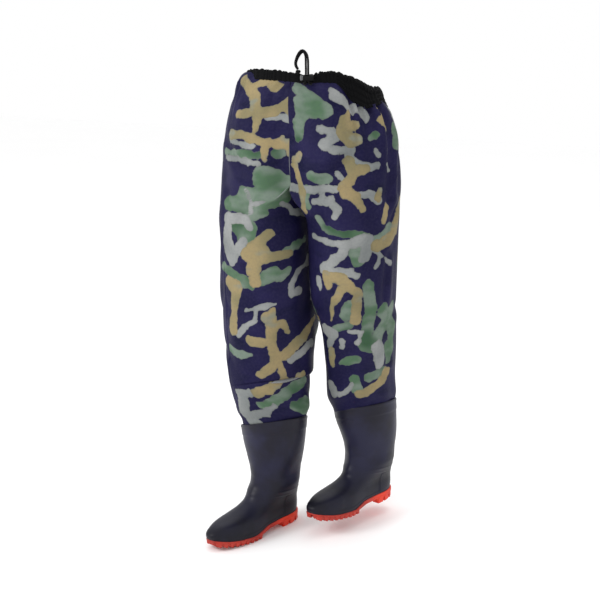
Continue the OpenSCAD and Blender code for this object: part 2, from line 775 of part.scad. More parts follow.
waistband_front_casing();
waistband_elastic_casing();
waist_elastic();
drawcord_run();
drawcord_right_end();
drawcord_left_end();
drawcord_knot();
drawcord_eyelets();
cord_lock_barrel();
cord_lock_plunger();
cord_lock_spring();
seat_front_right();
seat_front_left();
seat_back_right();
seat_back_left();
front_seam_tape();
back_seam_tape();
crotch_gusset();
right_hip_fabric();
right_thigh_fabric();
right_knee_fabric();
right_lower_leg_fabric();
left_hip_fabric();
left_thigh_fabric();
left_knee_fabric();
left_lower_leg_fabric();
right_leg_seam_tape();
left_leg_seam_tape();
right_boot_shell();
right_boot_cuff();
right_boot_lining();
right_insole();
right_outsole();
left_boot_shell();
left_boot_cuff();
left_boot_lining();
left_insole();
left_outsole();
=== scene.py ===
import math

import bmesh
import bpy
import numpy as np
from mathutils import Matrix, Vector


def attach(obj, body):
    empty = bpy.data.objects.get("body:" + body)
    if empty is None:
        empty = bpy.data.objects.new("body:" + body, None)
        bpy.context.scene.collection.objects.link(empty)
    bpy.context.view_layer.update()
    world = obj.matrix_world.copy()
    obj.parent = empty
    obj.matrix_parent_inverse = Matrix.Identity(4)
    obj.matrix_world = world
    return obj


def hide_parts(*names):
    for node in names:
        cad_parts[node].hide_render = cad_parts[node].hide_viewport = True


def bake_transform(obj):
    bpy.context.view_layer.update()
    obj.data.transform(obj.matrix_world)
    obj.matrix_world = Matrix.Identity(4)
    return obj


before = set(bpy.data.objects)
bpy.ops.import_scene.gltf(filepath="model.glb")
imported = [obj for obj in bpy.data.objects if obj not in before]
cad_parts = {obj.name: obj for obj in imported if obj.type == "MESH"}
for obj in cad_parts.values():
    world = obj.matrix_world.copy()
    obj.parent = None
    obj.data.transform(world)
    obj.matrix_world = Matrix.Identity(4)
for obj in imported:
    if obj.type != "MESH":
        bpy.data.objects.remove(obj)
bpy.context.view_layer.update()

# Waist-high waders. Lengths in the tables are millimetres, as in the part's source.
# Meshes are made in metres.
MM = 0.001
scene = bpy.context.scene

# ---- camera ----

VIEW_AZIMUTH = math.radians(28)
VIEW_ELEVATION = math.radians(13)
VIEW_DISTANCE = 3.2
VIEW_WIDTH = 1.476          # what the picture spans at that distance
VIEW_SIDE = -0.023          # the middle of the picture, to the side of the origin
VIEW_HEIGHT = -0.553

view_right = Vector((math.cos(VIEW_AZIMUTH), math.sin(VIEW_AZIMUTH), 0))
view_back = Vector((
    math.sin(VIEW_AZIMUTH) * math.cos(VIEW_ELEVATION),
    -math.cos(VIEW_AZIMUTH) * math.cos(VIEW_ELEVATION),
    math.sin(VIEW_ELEVATION),
))
target = view_right * VIEW_SIDE + Vector((0, 0, VIEW_HEIGHT))
camera_data = bpy.data.cameras.new("camera")
camera_data.sensor_width = 36
camera_data.lens = 36 * VIEW_DISTANCE / VIEW_WIDTH
camera = bpy.data.objects.new("camera", camera_data)
scene.collection.objects.link(camera)
camera.location = target + view_back * VIEW_DISTANCE
camera.rotation_mode = "QUATERNION"
camera.rotation_quaternion = (-view_back).to_track_quat("-Z", "Y")
scene.camera = camera

# ---- mesh helpers ----


def add_mesh(name, verts_mm, faces, smooth=True):
    """A new mesh object from points in millimetres."""
    mesh = bpy.data.meshes.new(name)
    mesh.from_pydata((np.asarray(verts_mm, float) * MM).tolist(), [], faces)
    mesh.update()
    obj = bpy.data.objects.new(name, mesh)
    scene.collection.objects.link(obj)
    if smooth:
        mesh.polygons.foreach_set("use_smooth", [True] * len(mesh.polygons))
    return obj


def turn_faces_out(obj):
    """Turns all faces of a closed mesh outwards."""
    bm = bmesh.new()
    bm.from_mesh(obj.data)
    bmesh.ops.recalc_face_normals(bm, faces=bm.faces)
    bm.to_mesh(obj.data)
    bm.free()


def strip(a, b, n, wrap):
    """Quads between two rows of n points that start at a and b."""
    last = n if wrap else n - 1
    return [(a + i, a + (i + 1) % n, b + (i + 1) % n, b + i) for i in range(last)]


def rows_mesh(name, rows, wrap_columns, wrap_rows=False, cap_start=False, cap_end=False):
    """A mesh through rows of points; rows and columns may close on themselves."""
    rows = np.asarray(rows, float)
    m, n = rows.shape[:2]
    verts = rows.reshape(-1, 3).tolist()
    faces = []
    for k in range(m if wrap_rows else m - 1):
        faces += strip(k * n, ((k + 1) % m) * n, n, wrap_columns)
    for wanted, start in ((cap_start, 0), (cap_end, (m - 1) * n)):
        if wanted:
            verts.append(rows.reshape(-1, 3)[start:start + n].mean(0).tolist())
            middle = len(verts) - 1
            faces += [(start + i, start + (i + 1) % n, middle) for i in range(n)]
    obj = add_mesh(name, verts, faces)
    turn_faces_out(obj)
    return obj


def vertex_places(mesh):
    return np.array([v.co[:] for v in mesh.vertices])


def set_uvs(mesh, places):
    """The layer "cloth", from one place in metres for each vertex."""
    layer = mesh.uv_layers.new(name="cloth")
    corners = np.zeros(len(mesh.loops), np.int64)
    mesh.loops.foreach_get("vertex_index", corners)
    layer.data.foreach_set("uv", places[corners].ravel())


def set_attribute(mesh, name, values):
    """A number for each vertex, which the mesh's material reads."""
    attribute = mesh.attributes.new(name, "FLOAT", "POINT")
    attribute.data.foreach_set("value", values.astype(np.float32))


def distances(path):
    """How far along a path each of its points lies."""
    return np.concatenate([[0], np.cumsum(np.linalg.norm(np.diff(path, axis=0), axis=1))])


def ease(x):
    """Rises smoothly from 0 to 1 as x does."""
    x = np.clip(x, 0, 1)
    return x * x * (3 - 2 * x)


def along(table, z):
    """Smooth values of a table's columns at heights z. The table's first column falls from row to row."""
    t = np.array(table, float)[::-1]
    x, y = t[:, 0], t[:, 1:]
    h = np.diff(x)[:, None]
    d = np.diff(y, axis=0) / h
    slope = np.zeros_like(y)
    slope[1:-1] = (d[:-1] + d[1:]) / 2
    low = np.minimum(np.abs(d[:-1]), np.abs(d[1:])) * 2.5
    slope[1:-1] = np.clip(slope[1:-1], -low, low) * (d[:-1] * d[1:] > 0)
    slope[0], slope[-1] = d[0], d[-1]
    z = np.clip(np.asarray(z, float), x[0], x[-1])
    k = np.clip(np.searchsorted(x, z) - 1, 0, len(h) - 1)
    u = ((z - x[k]) / h[k, 0])[..., None]
    step = h[k]
    return (
        y[k] * (1 + 2 * u) * (1 - u) ** 2 + slope[k] * step * u * (1 - u) ** 2
        + y[k + 1] * u * u * (3 - 2 * u) + slope[k + 1] * step * u * u * (u - 1)
    )


def ripple(u, v, seed, across, down, terms=7):
    """A smooth wave pattern from -1 to 1: its wavelengths are about across by down."""
    rng = np.random.default_rng(seed)
    total = np.zeros(np.broadcast(u, v).shape)
    for _ in range(terms):
        ku = rng.uniform(0.55, 1.45) * rng.choice([-1, 1]) / across
        kv = rng.uniform(0.1, 1.3) * rng.choice([-1, 1]) / down
        total = total + np.sin(2 * math.pi * (u * ku + v * kv + rng.uniform()))
    return total / terms * 1.6


def turned(x, y, degrees):
    """Places turned about the vertical axis."""
    a = np.radians(degrees)
    return x * np.cos(a) - y * np.sin(a), x * np.sin(a) + y * np.cos(a)


# ---- drawcord ----

RIM_HALF_WIDTH = 168
RIM_HALF_DEPTH = 118
WAIST_TURN = 6
CORD_D = 5
CORD_ANGLE = 13
SAG_LEFT, SAG_RIGHT, SAG_BACK = 45, 34, 30


def sag(x, y, z):
    """How far the rim hangs down at a place of the waist; it fades towards the crotch."""
    left = SAG_LEFT * np.minimum(1, np.maximum(0, x) / RIM_HALF_WIDTH) ** 6
    right = SAG_RIGHT * np.minimum(1, np.maximum(0, -x) / RIM_HALF_WIDTH) ** 7
    back = SAG_BACK * np.minimum(1, np.maximum(0, y) / RIM_HALF_DEPTH) ** 2
    return np.maximum(left + right, back) * np.maximum(0, 1 + z / 255)


exit_x, exit_y = turned(
    RIM_HALF_WIDTH * math.sin(math.radians(CORD_ANGLE)),
    -RIM_HALF_DEPTH * math.cos(math.radians(CORD_ANGLE)),
    WAIST_TURN,
)
exit_z = -float(sag(exit_x, exit_y, 0))
exit_turn = WAIST_TURN + math.degrees(math.atan2(
    RIM_HALF_DEPTH * math.sin(math.radians(CORD_ANGLE)),
    RIM_HALF_WIDTH * math.cos(math.radians(CORD_ANGLE)),
))


def from_exit(p):
    """Millimetres in the shared frame from [along the rim, outwards, up] at the cord's exit."""
    x, y = turned(p[0], -p[1], exit_turn)
    return np.array([exit_x + x, exit_y + y, exit_z + p[2]])


RIGHT_END_ROUTE = [
    [-9, 0, -13], [-3.5, 0.5, -16.5], [-2.5, 5, -17], [-2.5, 9, -17], [-0.5, 12.2, -15],
    [1.25, 13, -11], [1.25, 13, 0], [1.25, 13, 14], [0.8, 12, 23], [0, 9, 34],
    [-2, 5.5, 45], [-7, 3.5, 51.5], [-13, 3.5, 48], [-19, 4, 39], [-23, 4.2, 29],
    [-22.5, 4.2, 20], [-18, 4.2, 12.5],
]
LEFT_END_ROUTE = [
    [17, 0, -13], [11.5, 0.5, -16.5], [10.5, 5, -17], [10.5, 9, -17], [8.5, 12.2, -15],
    [6.75, 13, -11], [6.75, 13, 0], [6.6, 13, 14], [6.3, 12, 23], [5.4, 9.6, 34],
    [3.0, 8.4, 45], [-2, 8.2, 52.5], [-8.5, 8.6, 55.5], [-15, 9, 51], [-20.5, 10, 41],
    [-24, 10.2, 29], [-23, 10.2, 20], [-18, 10, 12.5],
]
KNOT_AT = [-18, 7.1, 7]


def smooth_path(points, steps):
    """A Catmull-Rom curve through the points."""
    p = [np.array(q, float) for q in points]
    out = []
    for k in range(len(p) - 1):
        a, b, c, d = p[max(k - 1, 0)], p[k], p[k + 1], p[min(k + 2, len(p) - 1)]
        for s in range(steps):
            u = s / steps
            out.append(0.5 * (
                2 * b + (c - a) * u + (2 * a - 5 * b + 4 * c - d) * u * u
                + (3 * b - a - 3 * c + d) * u ** 3
            ))
    out.append(p[-1])
    return np.array(out)


def evenly(path, spacing):
    """The same path with points at an even spacing."""
    lengths = distances(path)
    at = np.linspace(0, lengths[-1], max(2, int(lengths[-1] / spacing) + 1))
    return np.stack([np.interp(at, lengths, path[:, i]) for i in range(3)], axis=1)


def carried_frame(path):
    """Side and other vectors along a path, carried along without twisting."""
    d = np.gradient(path, axis=0)
    d /= np.linalg.norm(d, axis=1)[:, None]
    side = np.cross(d[0], [0.3, 0.2, 1.0])
    sides = []
    for k in range(len(path)):
        side = side - d[k] * (side @ d[k])
        side = side / np.linalg.norm(side)
        sides.append(side)
    sides = np.array(sides)
    return sides, np.cross(d, sides)


def tube_mesh(name, path, radius, sides, relief):
    """A tube round a path with rounded ends; relief(angle, distance) is added to its radius."""
    s, t = carried_frame(path)
    angles = np.arange(sides) / sides * 2 * math.pi
    distance = distances(path)
    rows = []
    for k, p in enumerate(path):
        end = min(distance[k], distance[-1] - distance[k])
        r = np.full(sides, radius * math.sqrt(1 - max(0.0, 1 - end / radius) ** 2 * 0.96))
        r = r + relief(angles, distance[k])
        rows.append(p + r[:, None] * (np.cos(angles)[:, None] * s[k] + np.sin(angles)[:, None] * t[k]))
    return rows_mesh(name, rows, True, cap_start=True, cap_end=True)


def braid(angle, distance):
    """Relief of a braided cord: two sets of strands that cross."""
    turn = distance / 1.6
    one = np.cos(4 * angle + turn * 2)
    other = np.cos(4 * angle - turn * 2)
    return 0.17 * np.maximum(one, other) - 0.17


def cord_piece(name, route):
    """One free end of the drawcord along its route."""
    path = evenly(smooth_path([from_exit(p) for p in route], 8), 0.45)
    obj = tube_mesh(name, path, CORD_D / 2, 18, braid)
    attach(obj, "waist")
    return obj


def knot_piece():
    """An overhand knot of the doubled cord: one strand wound three times round in a trefoil."""
    t = np.linspace(0, 2 * math.pi, 110, endpoint=False)
    path = np.stack([
        (np.sin(t) + 2 * np.sin(2 * t)) * 1.25,
        (np.cos(t) - 2 * np.cos(2 * t)) * 1.25,
        -np.sin(3 * t) * 2.1,
    ], axis=1)
    closed = np.concatenate([path, path[:1]])
    path = np.array([from_exit(np.array(KNOT_AT) + q[[0, 2, 1]]) for q in closed])
    return tube_mesh("drawcord_knot_tied", path, 2.3, 14, braid)


knot = knot_piece()
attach(knot, "waist")
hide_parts("drawcord_knot")
right_end = cord_piece("drawcord_end_right", RIGHT_END_ROUTE)
left_end = cord_piece("drawcord_end_left", LEFT_END_ROUTE)
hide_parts("drawcord_right_end")
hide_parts("drawcord_left_end")

# ---- trousers: the surface ----

# [z, half width, half depth] of the seat
SEAT = [
    [0, 168, 118], [-24, 180, 126], [-40, 192, 131], [-60, 200, 135],
    [-120, 213, 141], [-200, 221, 145], [-255, 224, 146],
]
# [z, centre x, centre y, half width, half depth, turn] down each leg
RIGHT_LEG = [
    [-340, -109, -20, 114, 118, 0], [-420, -106, -26, 114, 110, 0], [-545, -107, -11, 114, 124, 0],
    [-625, -107, 2, 111, 138, -3], [-700, -106, -5, 104, 126, -6], [-745, -105, -6, 102, 122, -8],
    [-790, -101, -9, 96, 114, -10], [-838, -91, -22, 84, 96, -13], [-860, -87, -24, 79, 86, -14],
]
RIGHT_CUFF = [
    [-640, -103, -10, 94, 112, -6], [-748, -101, -20, 94, 111, -9], [-790, -96, -22, 90, 107, -11],
    [-840, -88, -25, 84, 95, -14], [-860, -87, -24, 78, 86, -14], [-880, -87, -24, 75, 82, -14],
    [-900, -87, -24, 67, 73, -14],
]
LEFT_LEG = [
    [-340, 111, 12, 110, 118, 0], [-420, 108, 22, 108, 110, 0], [-545, 103, 34, 101, 105, 0],
    [-625, 102, 66, 88, 101, -4], [-715, 100, 86, 81, 95, -8], [-757, 97, 98, 80, 93, -11],
    [-800, 94, 112, 80, 94, -14], [-824, 92, 122, 78, 88, -14], [-846, 93, 124, 70, 81, -14],
    [-874, 93, 126, 60, 68, -14],
]
CROTCH_Z = -255
# [z, depth at the front, depth at the back] of the hollow along the middle of the seat
CLEFT = [[0, 0, 0], [-60, 7, 3], [-120, 26, 10], [-220, 44, 18], [-255, 48, 20]]
CLEFT_WIDTH = 46
# [mean, towards the camera, across] of the tilt of each boot's upper edge, in millimetres
EDGE_TILT = {-1: (1, 15, 20), 1: (-6, 8, 19)}
LEG_START = -365            # below this a leg is a plain tube
PRESS_GAP, PRESS_SOFT = 2.5, 3.0        # the legs are pressed flat this far from the middle plane
SEAT_BOTTOM = -120
FRONT_BAND_HEIGHT, BACK_BAND_HEIGHT = 22, 55
FRONT_BAND_ANGLE = 36
HEM_FLARE = (0.42, 0.05)
FABRIC = 1.0                # thickness of the coated fabric
COLUMNS = 192               # points round a leg
HALF = COLUMNS // 2
ROW_STEP = 4.5
PUFF_TOP, PUFF_OUT = 5, 11   # height and width of the fabric's roll over the hem on the right

# [z, angle from the front] of the seam that runs from the hip to the shin
SIDE_SEAM = [
    [-50, 100], [-200, 95], [-290, 70], [-335, 56], [-370, 47], [-455, 40], [-533, 37], [-744, 24],
    [-860, 20],
]


def seat_xyz(side, phi, z):
    """Points of the seat: phi runs from 0 at the front to 180 at the back, on one side."""
    shape = along(SEAT, z)
    a, b = shape[..., 0], shape[..., 1]
    sin, cos = np.sin(np.radians(phi)), np.cos(np.radians(phi))
    x, y = side * a * sin, -b * cos
    x, y = turned(x, y, WAIST_TURN * (1 + np.minimum(0, z) / 300))
    return np.stack([x, y, z - sag(x, y, z)], axis=-1)


def hem_xyz(phi, out, z):
    """Points of the hem at a signed angle from the front, out from the middle of the casing."""
    wider = np.maximum(0, -z) * HEM_FLARE[0]
    deeper = np.maximum(0, -z) * HEM_FLARE[1]
    sin, cos = np.sin(np.radians(phi)), np.cos(np.radians(phi))
    x, y = turned(
        (RIM_HALF_WIDTH + wider + out) * sin, -(RIM_HALF_DEPTH + deeper + out) * cos, WAIST_TURN,
    )
    return np.stack([x, y, z - sag(x, y, z)], axis=-1)


def edge_tilt(side, angle):
    """How far the boot's upper edge stands above its plain height, at an angle from the front to the left."""
    middle, near, across = EDGE_TILT[side]
    away = np.radians(angle - VIEW_AZIMUTH)
    return middle + near * np.cos(away) + across * np.sin(away)


def oval_xyz(table, side, phi, z):
    """Points of a leg's oval: phi is 0 at the front and 90 on the outside."""
    shape = along(table, z - edge_tilt(side, side * phi) * ease((-z - 750) / 70))
    cx, cy, rx, ry, turn = (shape[..., i] for i in range(5))
    x, y = turned(side * rx * np.sin(np.radians(phi)), -ry * np.cos(np.radians(phi)), turn)
    from_middle = side * (cx + x)
    pressed = PRESS_GAP + PRESS_SOFT * np.logaddexp(0, (from_middle - PRESS_GAP) / PRESS_SOFT)
    return np.stack([side * pressed, cy + y, z + 0 * x], axis=-1)


def leg_xyz(table, side, phi, z):
    """Points from the seat down into a leg. Above the crotch only the outer half, phi up to 180, is used."""
    phi, z = np.broadcast_arrays(np.asarray(phi, float), np.asarray(z, float))
    outer = phi <= 180
    oval = oval_xyz(table, side, phi, np.minimum(z, table[0][0]))
    oval[..., 2] = z
    seat = seat_xyz(side, np.where(outer, phi, 0), np.maximum(z, CROTCH_Z))
    seat[..., 2] += np.minimum(0, z - CROTCH_Z)
    y = -SEAT[-1][2] * np.cos(np.radians(phi))
    inseam = np.stack([side * (2 + 9 * (1 - (y / 150) ** 2)), y, z], axis=-1)
    start = np.where(outer, CROTCH_Z + 60 * np.sin(np.radians(phi)) ** 2, CROTCH_Z)
    share = ease((start - z) / (start - LEG_START))[..., None]
    return np.where(outer[..., None], seat, inseam) * (1 - share) + oval * share


def hem_bottom(angle):
    """The hem is narrow at the front and wide elsewhere. Angles go from the front to the left, positive."""
    inside = ease((angle - FRONT_BAND_ANGLE + 1) / 13) * (angle > 0) + ease((-58 - angle) / 4) * (angle < 0)
    return -FRONT_BAND_HEIGHT - (BACK_BAND_HEIGHT - FRONT_BAND_HEIGHT) * inside


# [angle from the front, rise of the rim, rise of the hem's lower edge]
RIM_RISES = [
    [-180, -6, 0], [-120, -8, 0], [-80, -6, 0], [-62, 1, 3], [-45, 8, 6], [-26, 10, 8], [-8, 8, 7], [4, 5, 5],
    [9, 1, 3], [17, 1, 3], [24, 7, 5], [36, 11, 7], [44, 10, 8], [60, 10, 16], [75, 11, 22], [90, 10, 28],
    [105, -6, 12], [125, -22, -4], [150, -16, -4], [180, -6, 0],
]


def rim_rise(angles):
    """How far the gathered hem stands above the plain one, at its rim and at its lower edge."""
    table = np.array(RIM_RISES, float)
    return np.interp(angles, table[:, 0], table[:, 1]), np.interp(angles, table[:, 0], table[:, 2])


def cover(side, phi):
    """Where the fabric puffs out over the hem and hides it: only round the right hip."""
    return (side < 0) * ease((phi - 28) / 17) * ease((138 - phi) / 18)


def vertex_normals(points, faces):
    """Smooth normals of a mesh of quads, given as arrays."""
    quads = np.array(faces)
    across = points[quads[:, 2]] - points[quads[:, 0]]
    other = points[quads[:, 3]] - points[quads[:, 1]]
    flat = np.cross(across, other)
    normals = np.zeros_like(points)
    for i in range(4):
        np.add.at(normals, quads[:, i], flat)
    return normals / np.maximum(np.linalg.norm(normals, axis=1), 1e-9)[:, None]


class Leg:
    """Grid of one side's fabric from the hem to the boot, with its chart (u round the leg, v down it)."""

    def __init__(self, side, table, bottom):
        self.side, self.table, self.bottom = side, table, bottom
        outer = np.linspace(0, 180, HALF + 1)
        inner = np.linspace(180, 360, HALF + 1)[1:-1]
        self.phi = np.concatenate([outer, inner])
        self.build_rows()
        self.index_points()
        self.chart()

    def build_rows(self):
        """Rows of base points, from the hem downwards; half rows above the crotch and full ones below."""
        side, table = self.side, self.table
        half_phi = self.phi[:HALF + 1]
        rows = []
        edge = hem_bottom(side * half_phi) + rim_rise(side * half_phi)[1]
        top = edge + 6
        covered = cover(side, half_phi)[:, None]
        for t in np.linspace(0, 1, 31)[:-1]:
            z = top + (SEAT_BOTTOM - top) * t
            seat = seat_xyz(side, half_phi, z)
            hem = hem_xyz(side * half_phi, 2.2, z)
            near = np.clip(1 - (edge - z) / 26, 0, 1)
            near = np.where(z > edge, 1, near ** 2)[:, None]
            plain = seat * (1 - near) + hem * near
            z = PUFF_TOP + (SEAT_BOTTOM - PUFF_TOP) * t ** 1.6
            rolled = PUFF_OUT * math.sqrt(max(0, 1 - (max(0, z - PUFF_TOP + 14) / 14) ** 2))
            share = ease((z + 75) / 75)
            puff = seat_xyz(side, half_phi, z + 0 * half_phi) * (1 - share)
            puff = puff + hem_xyz(side * half_phi, rolled, z + 0 * half_phi) * share
            rows.append(plain * (1 - covered) + puff * covered)
        count = round((SEAT_BOTTOM - CROTCH_Z) / ROW_STEP)
        heights = np.linspace(SEAT_BOTTOM, CROTCH_Z, count + 1)[:-1]
        rows += [leg_xyz(table, side, half_phi, z) for z in heights]
        self.half_rows = len(rows)
        if side < 0:
            self.add_folded_rows(rows)
        else:
            count = round((CROTCH_Z - self.bottom) / ROW_STEP)
            heights = np.linspace(CROTCH_Z, self.bottom, count + 1)
            rows += [leg_xyz(table, side, self.phi, z) for z in heights]
        self.rows = rows

    def fold_depth(self):
        """How far the blouse fold hangs over, round the leg: it vanishes at the front outside."""
        return ease((np.cos(np.radians(self.phi + 82)) + 0.62) / 1.1)

    def add_folded_rows(self, rows):
        """The right leg is bloused: its upper part hangs over the narrower cuff in a fold."""
        depth = self.fold_depth()
        edge = -764 + 22 * ease((np.cos(np.radians(self.phi + 82)) + 0.5) / 1.5)
        count = round((CROTCH_Z + 730) / ROW_STEP)
        for t in np.linspace(0, 1, count + 1):
            z = CROTCH_Z + (edge - CROTCH_Z) * t
            rows.append(leg_xyz(self.table, self.side, self.phi, z))
        upper = rows[-1]
        lower = oval_xyz(RIGHT_CUFF, self.side, self.phi, edge)
        for inward in (0.25, 0.5, 0.75, 1.0):
            p = upper + (lower - upper) * (depth * inward)[:, None]
            p[:, 2] = edge + depth * (-3.2 * math.sin(math.pi * inward) + 5 * inward) - 2 * inward
            rows.append(p)
        start = edge - 2 + 5 * depth
        count = round((-735 - self.bottom) / ROW_STEP)
        for t in np.linspace(0, 1, count + 1)[1:]:
            z = start + (self.bottom - start) * t
            cuff = oval_xyz(RIGHT_CUFF, self.side, self.phi, z)
            tube = oval_xyz(RIGHT_LEG, self.side, self.phi, z)
            keep = ((1 - depth) * np.clip(1 - (start - z) / 70, 0, 1) ** 1.5)[:, None]
            rows.append(cuff * (1 - keep) + tube * keep)

    def index_points(self):
        """Gives every point a number, and makes the faces."""
        self.offset = []
        total = 0
        for row in self.rows:
            self.offset.append(total)
            total += len(row)
        self.points = np.concatenate(self.rows)
        self.row_of = np.concatenate([np.full(len(r), k) for k, r in enumerate(self.rows)])
        self.phi_of = np.concatenate([self.phi[:len(r)] for r in self.rows])
        faces = []
        for k in range(len(self.rows) - 1):
            a, b = self.offset[k], self.offset[k + 1]
            full = k >= self.half_rows
            faces += [(b + i, b + (i + 1) % COLUMNS, a + (i + 1) % COLUMNS, a + i)
                      for i in range(COLUMNS if full else HALF)]
        if self.side < 0:
            faces = [f[::-1] for f in faces]
        self.faces = faces

    def chart(self):
        """u: distance round the leg from its outer side, forwards positive. v: distance down."""
        u = np.zeros(len(self.points))
        v = np.zeros(len(self.points))
        down = np.zeros(COLUMNS)
        last = None
        for k, row in enumerate(self.rows):
            n = len(row)
            start = self.offset[k]
            if last is not None:
                m = min(len(last), n)
                down[:m] += np.abs(row[:m, 2] - last[:m, 2])
                if n > len(last):
                    down[m:] = down[:m].mean()
            else:
                down[:n] = -row[:, 2]
            side_at = HALF // 2
            gaps = np.linalg.norm(np.diff(row, axis=0), axis=1)
            reach = np.concatenate([[0], np.cumsum(gaps)])
            run = np.zeros(n)
            run[:HALF + 1] = reach[side_at] - reach[:HALF + 1]
            if n == COLUMNS:
                back = reach[side_at] + np.linalg.norm(row[0] - row[-1])
                run[HALF + 1:] = back + (reach[-1] - reach[HALF + 1:])
            u[start:start + n] = run
            v[start:start + n] = down[:n]
            last = row
        self.u, self.v = u, v

    def shape(self):
        """Moves the points along their normals: folds, gathers, seams."""
        normals = vertex_normals(self.points, self.faces)
        phi, z = self.phi_of, self.points[:, 2]
        u, v = self.u, self.v
        outer = phi <= 180
        inside = np.where(outer, 0, np.sin(np.radians(phi - 180)))
        calm = 1 - 0.75 * inside * ease((z + 700) / 200)
        soft = 4.2 * ripple(u, v, 11 + self.side, 170, 420) + 2.2 * ripple(u, v, 23 + self.side, 75, 260)
        move = soft * calm * ease((-z - 20) / 90)
        covered = cover(self.side, phi)
        edge = (hem_bottom(self.side * phi) + rim_rise(self.side * phi)[1]) * (1 - covered) - 8 * covered
        below = np.where(outer, edge - z - sag(self.points[:, 0], self.points[:, 1], z), 400)
        gather = np.exp(-np.maximum(0, below) / 38) * ease(below / 8 + 0.4)
        wide = ease((np.abs(phi) - FRONT_BAND_ANGLE) / 8) * outer
        pleats = ripple(u, v * 0, 31 + self.side, 34, 900, 5)
        move += gather * pleats * (3.2 + 3.4 * wide)
        rng = np.random.default_rng(50 + self.side)
        for _ in range(9):
            at = rng.uniform(-260, 60) if self.side > 0 else rng.uniform(-240, 40)
            depth, width, reach = rng.uniform(4, 8), rng.uniform(5, 10), rng.uniform(45, 110)
            lean = rng.uniform(-0.25, 0.25)
            line = np.exp(-((u - at - lean * below) / width) ** 2)
            move -= depth * line * np.exp(-np.maximum(0, below) / reach) * ease(below / 10) * outer
        seam_at = along(SIDE_SEAM, z)[..., 0]
        radius = np.maximum(60, np.linalg.norm(self.points[:, :2] - self.centre(z), axis=1))
        from_seam = np.radians(phi - seam_at) * radius
        from_seam = np.where(outer, from_seam, -300)
        groove = np.exp(-(from_seam / 2.2) ** 2)
        ridge = np.exp(-((from_seam - 6) / 4.5) ** 2)
        move += (-1.1 * groove + 0.9 * ridge) * ease((-z - 60) / 30)
        x, y = self.points[:, 0], self.points[:, 1]
        centre = np.exp(-(x / 9) ** 2) * (z > CROTCH_Z - 4) * outer
        move += -1.3 * np.exp(-(x / 2.0) ** 2) * (z > CROTCH_Z - 4) * outer + 0.7 * centre
        self.points = self.points + normals * move[:, None]
        deep = along(CLEFT, np.maximum(z, CROTCH_Z)) * np.exp(np.minimum(0, z - CROTCH_Z) / 35)[:, None]
        hollow = np.exp(-(x / CLEFT_WIDTH) ** 2)
        self.points[:, 1] += hollow * np.where(y < 0, deep[:, 0], -deep[:, 1]) * ease((np.abs(y) - 20) / 60)
        self.own_folds(normals)

    def centre(self, z):
        """The middle of the leg at heights z; it goes over to the waist's middle above the crotch."""
        shape = along(self.table, np.minimum(z, self.table[0][0]))
        share = ease((CROTCH_Z + 60 - z) / 170)[..., None]
        return shape[..., :2] * share

    def own_folds(self, normals):
        """Single creases that each side has."""
        u, z = self.u, self.points[:, 2]
        for at_u, at_z, to_u, to_z, depth, width in FOLDS[self.side]:
            along_line = np.array([to_u - at_u, to_z - at_z], float)
            length = np.linalg.norm(along_line)
            along_line /= length
            du, dz = u - at_u, z - at_z
            t = (du * along_line[0] + dz * along_line[1]) / length
            off = du * along_line[1] - dz * along_line[0]
            fade = ease(t / 0.3 + 0.5) * ease((1 - t) / 0.3 + 0.5)
            shape = np.exp(-(off / width) ** 2) - 0.55 * np.exp(-((off - 2 * width) / (1.3 * width)) ** 2)
            self.points -= normals * (depth * fade * shape)[:, None]


# [from u, from z, to u, to z, depth, width] of single folds on the right (-1) and left (1) side
FOLDS = {
    -1: [
        [40, -640, 150, -700, 3, 12], [120, -560, 250, -640, 3, 14], [-60, -600, 60, -700, 3, 14],
        [60, -150, 200, -240, 3.5, 14], [-40, -780, 90, -820, 2, 9], [30, -400, 90, -560, 2.5, 16],
        [210, -245, 120, -185, 4, 11], [200, -262, 100, -285, 3.5, 11], [205, -280, 150, -400, 4.5, 13],
        [190, -90, 186, -220, 2.6, 5], [100, -440, 70, -620, 3.5, 16],
    ],
    1: [
        [-10, -300, 40, -390, 5, 9], [30, -420, 26, -540, 5, 9], [-30, -180, -10, -280, 4, 12],
        [120, -170, 200, -250, 3, 14], [-60, -560, 40, -640, 3, 12], [70, -640, 150, -690, 2.5, 11],
        [-20, -700, 60, -770, 2.5, 9], [205, -240, 110, -170, 4, 11], [195, -262, 90, -250, 3.5, 11],
        [205, -285, 160, -400, 5, 13], [112, -52, 108, -175, 3, 5], [90, -420, 60, -600, 3.5, 15],
        [16, -120, 26, -300, 8, 13],
    ],
}

# ---- trousers: the camouflage print ----

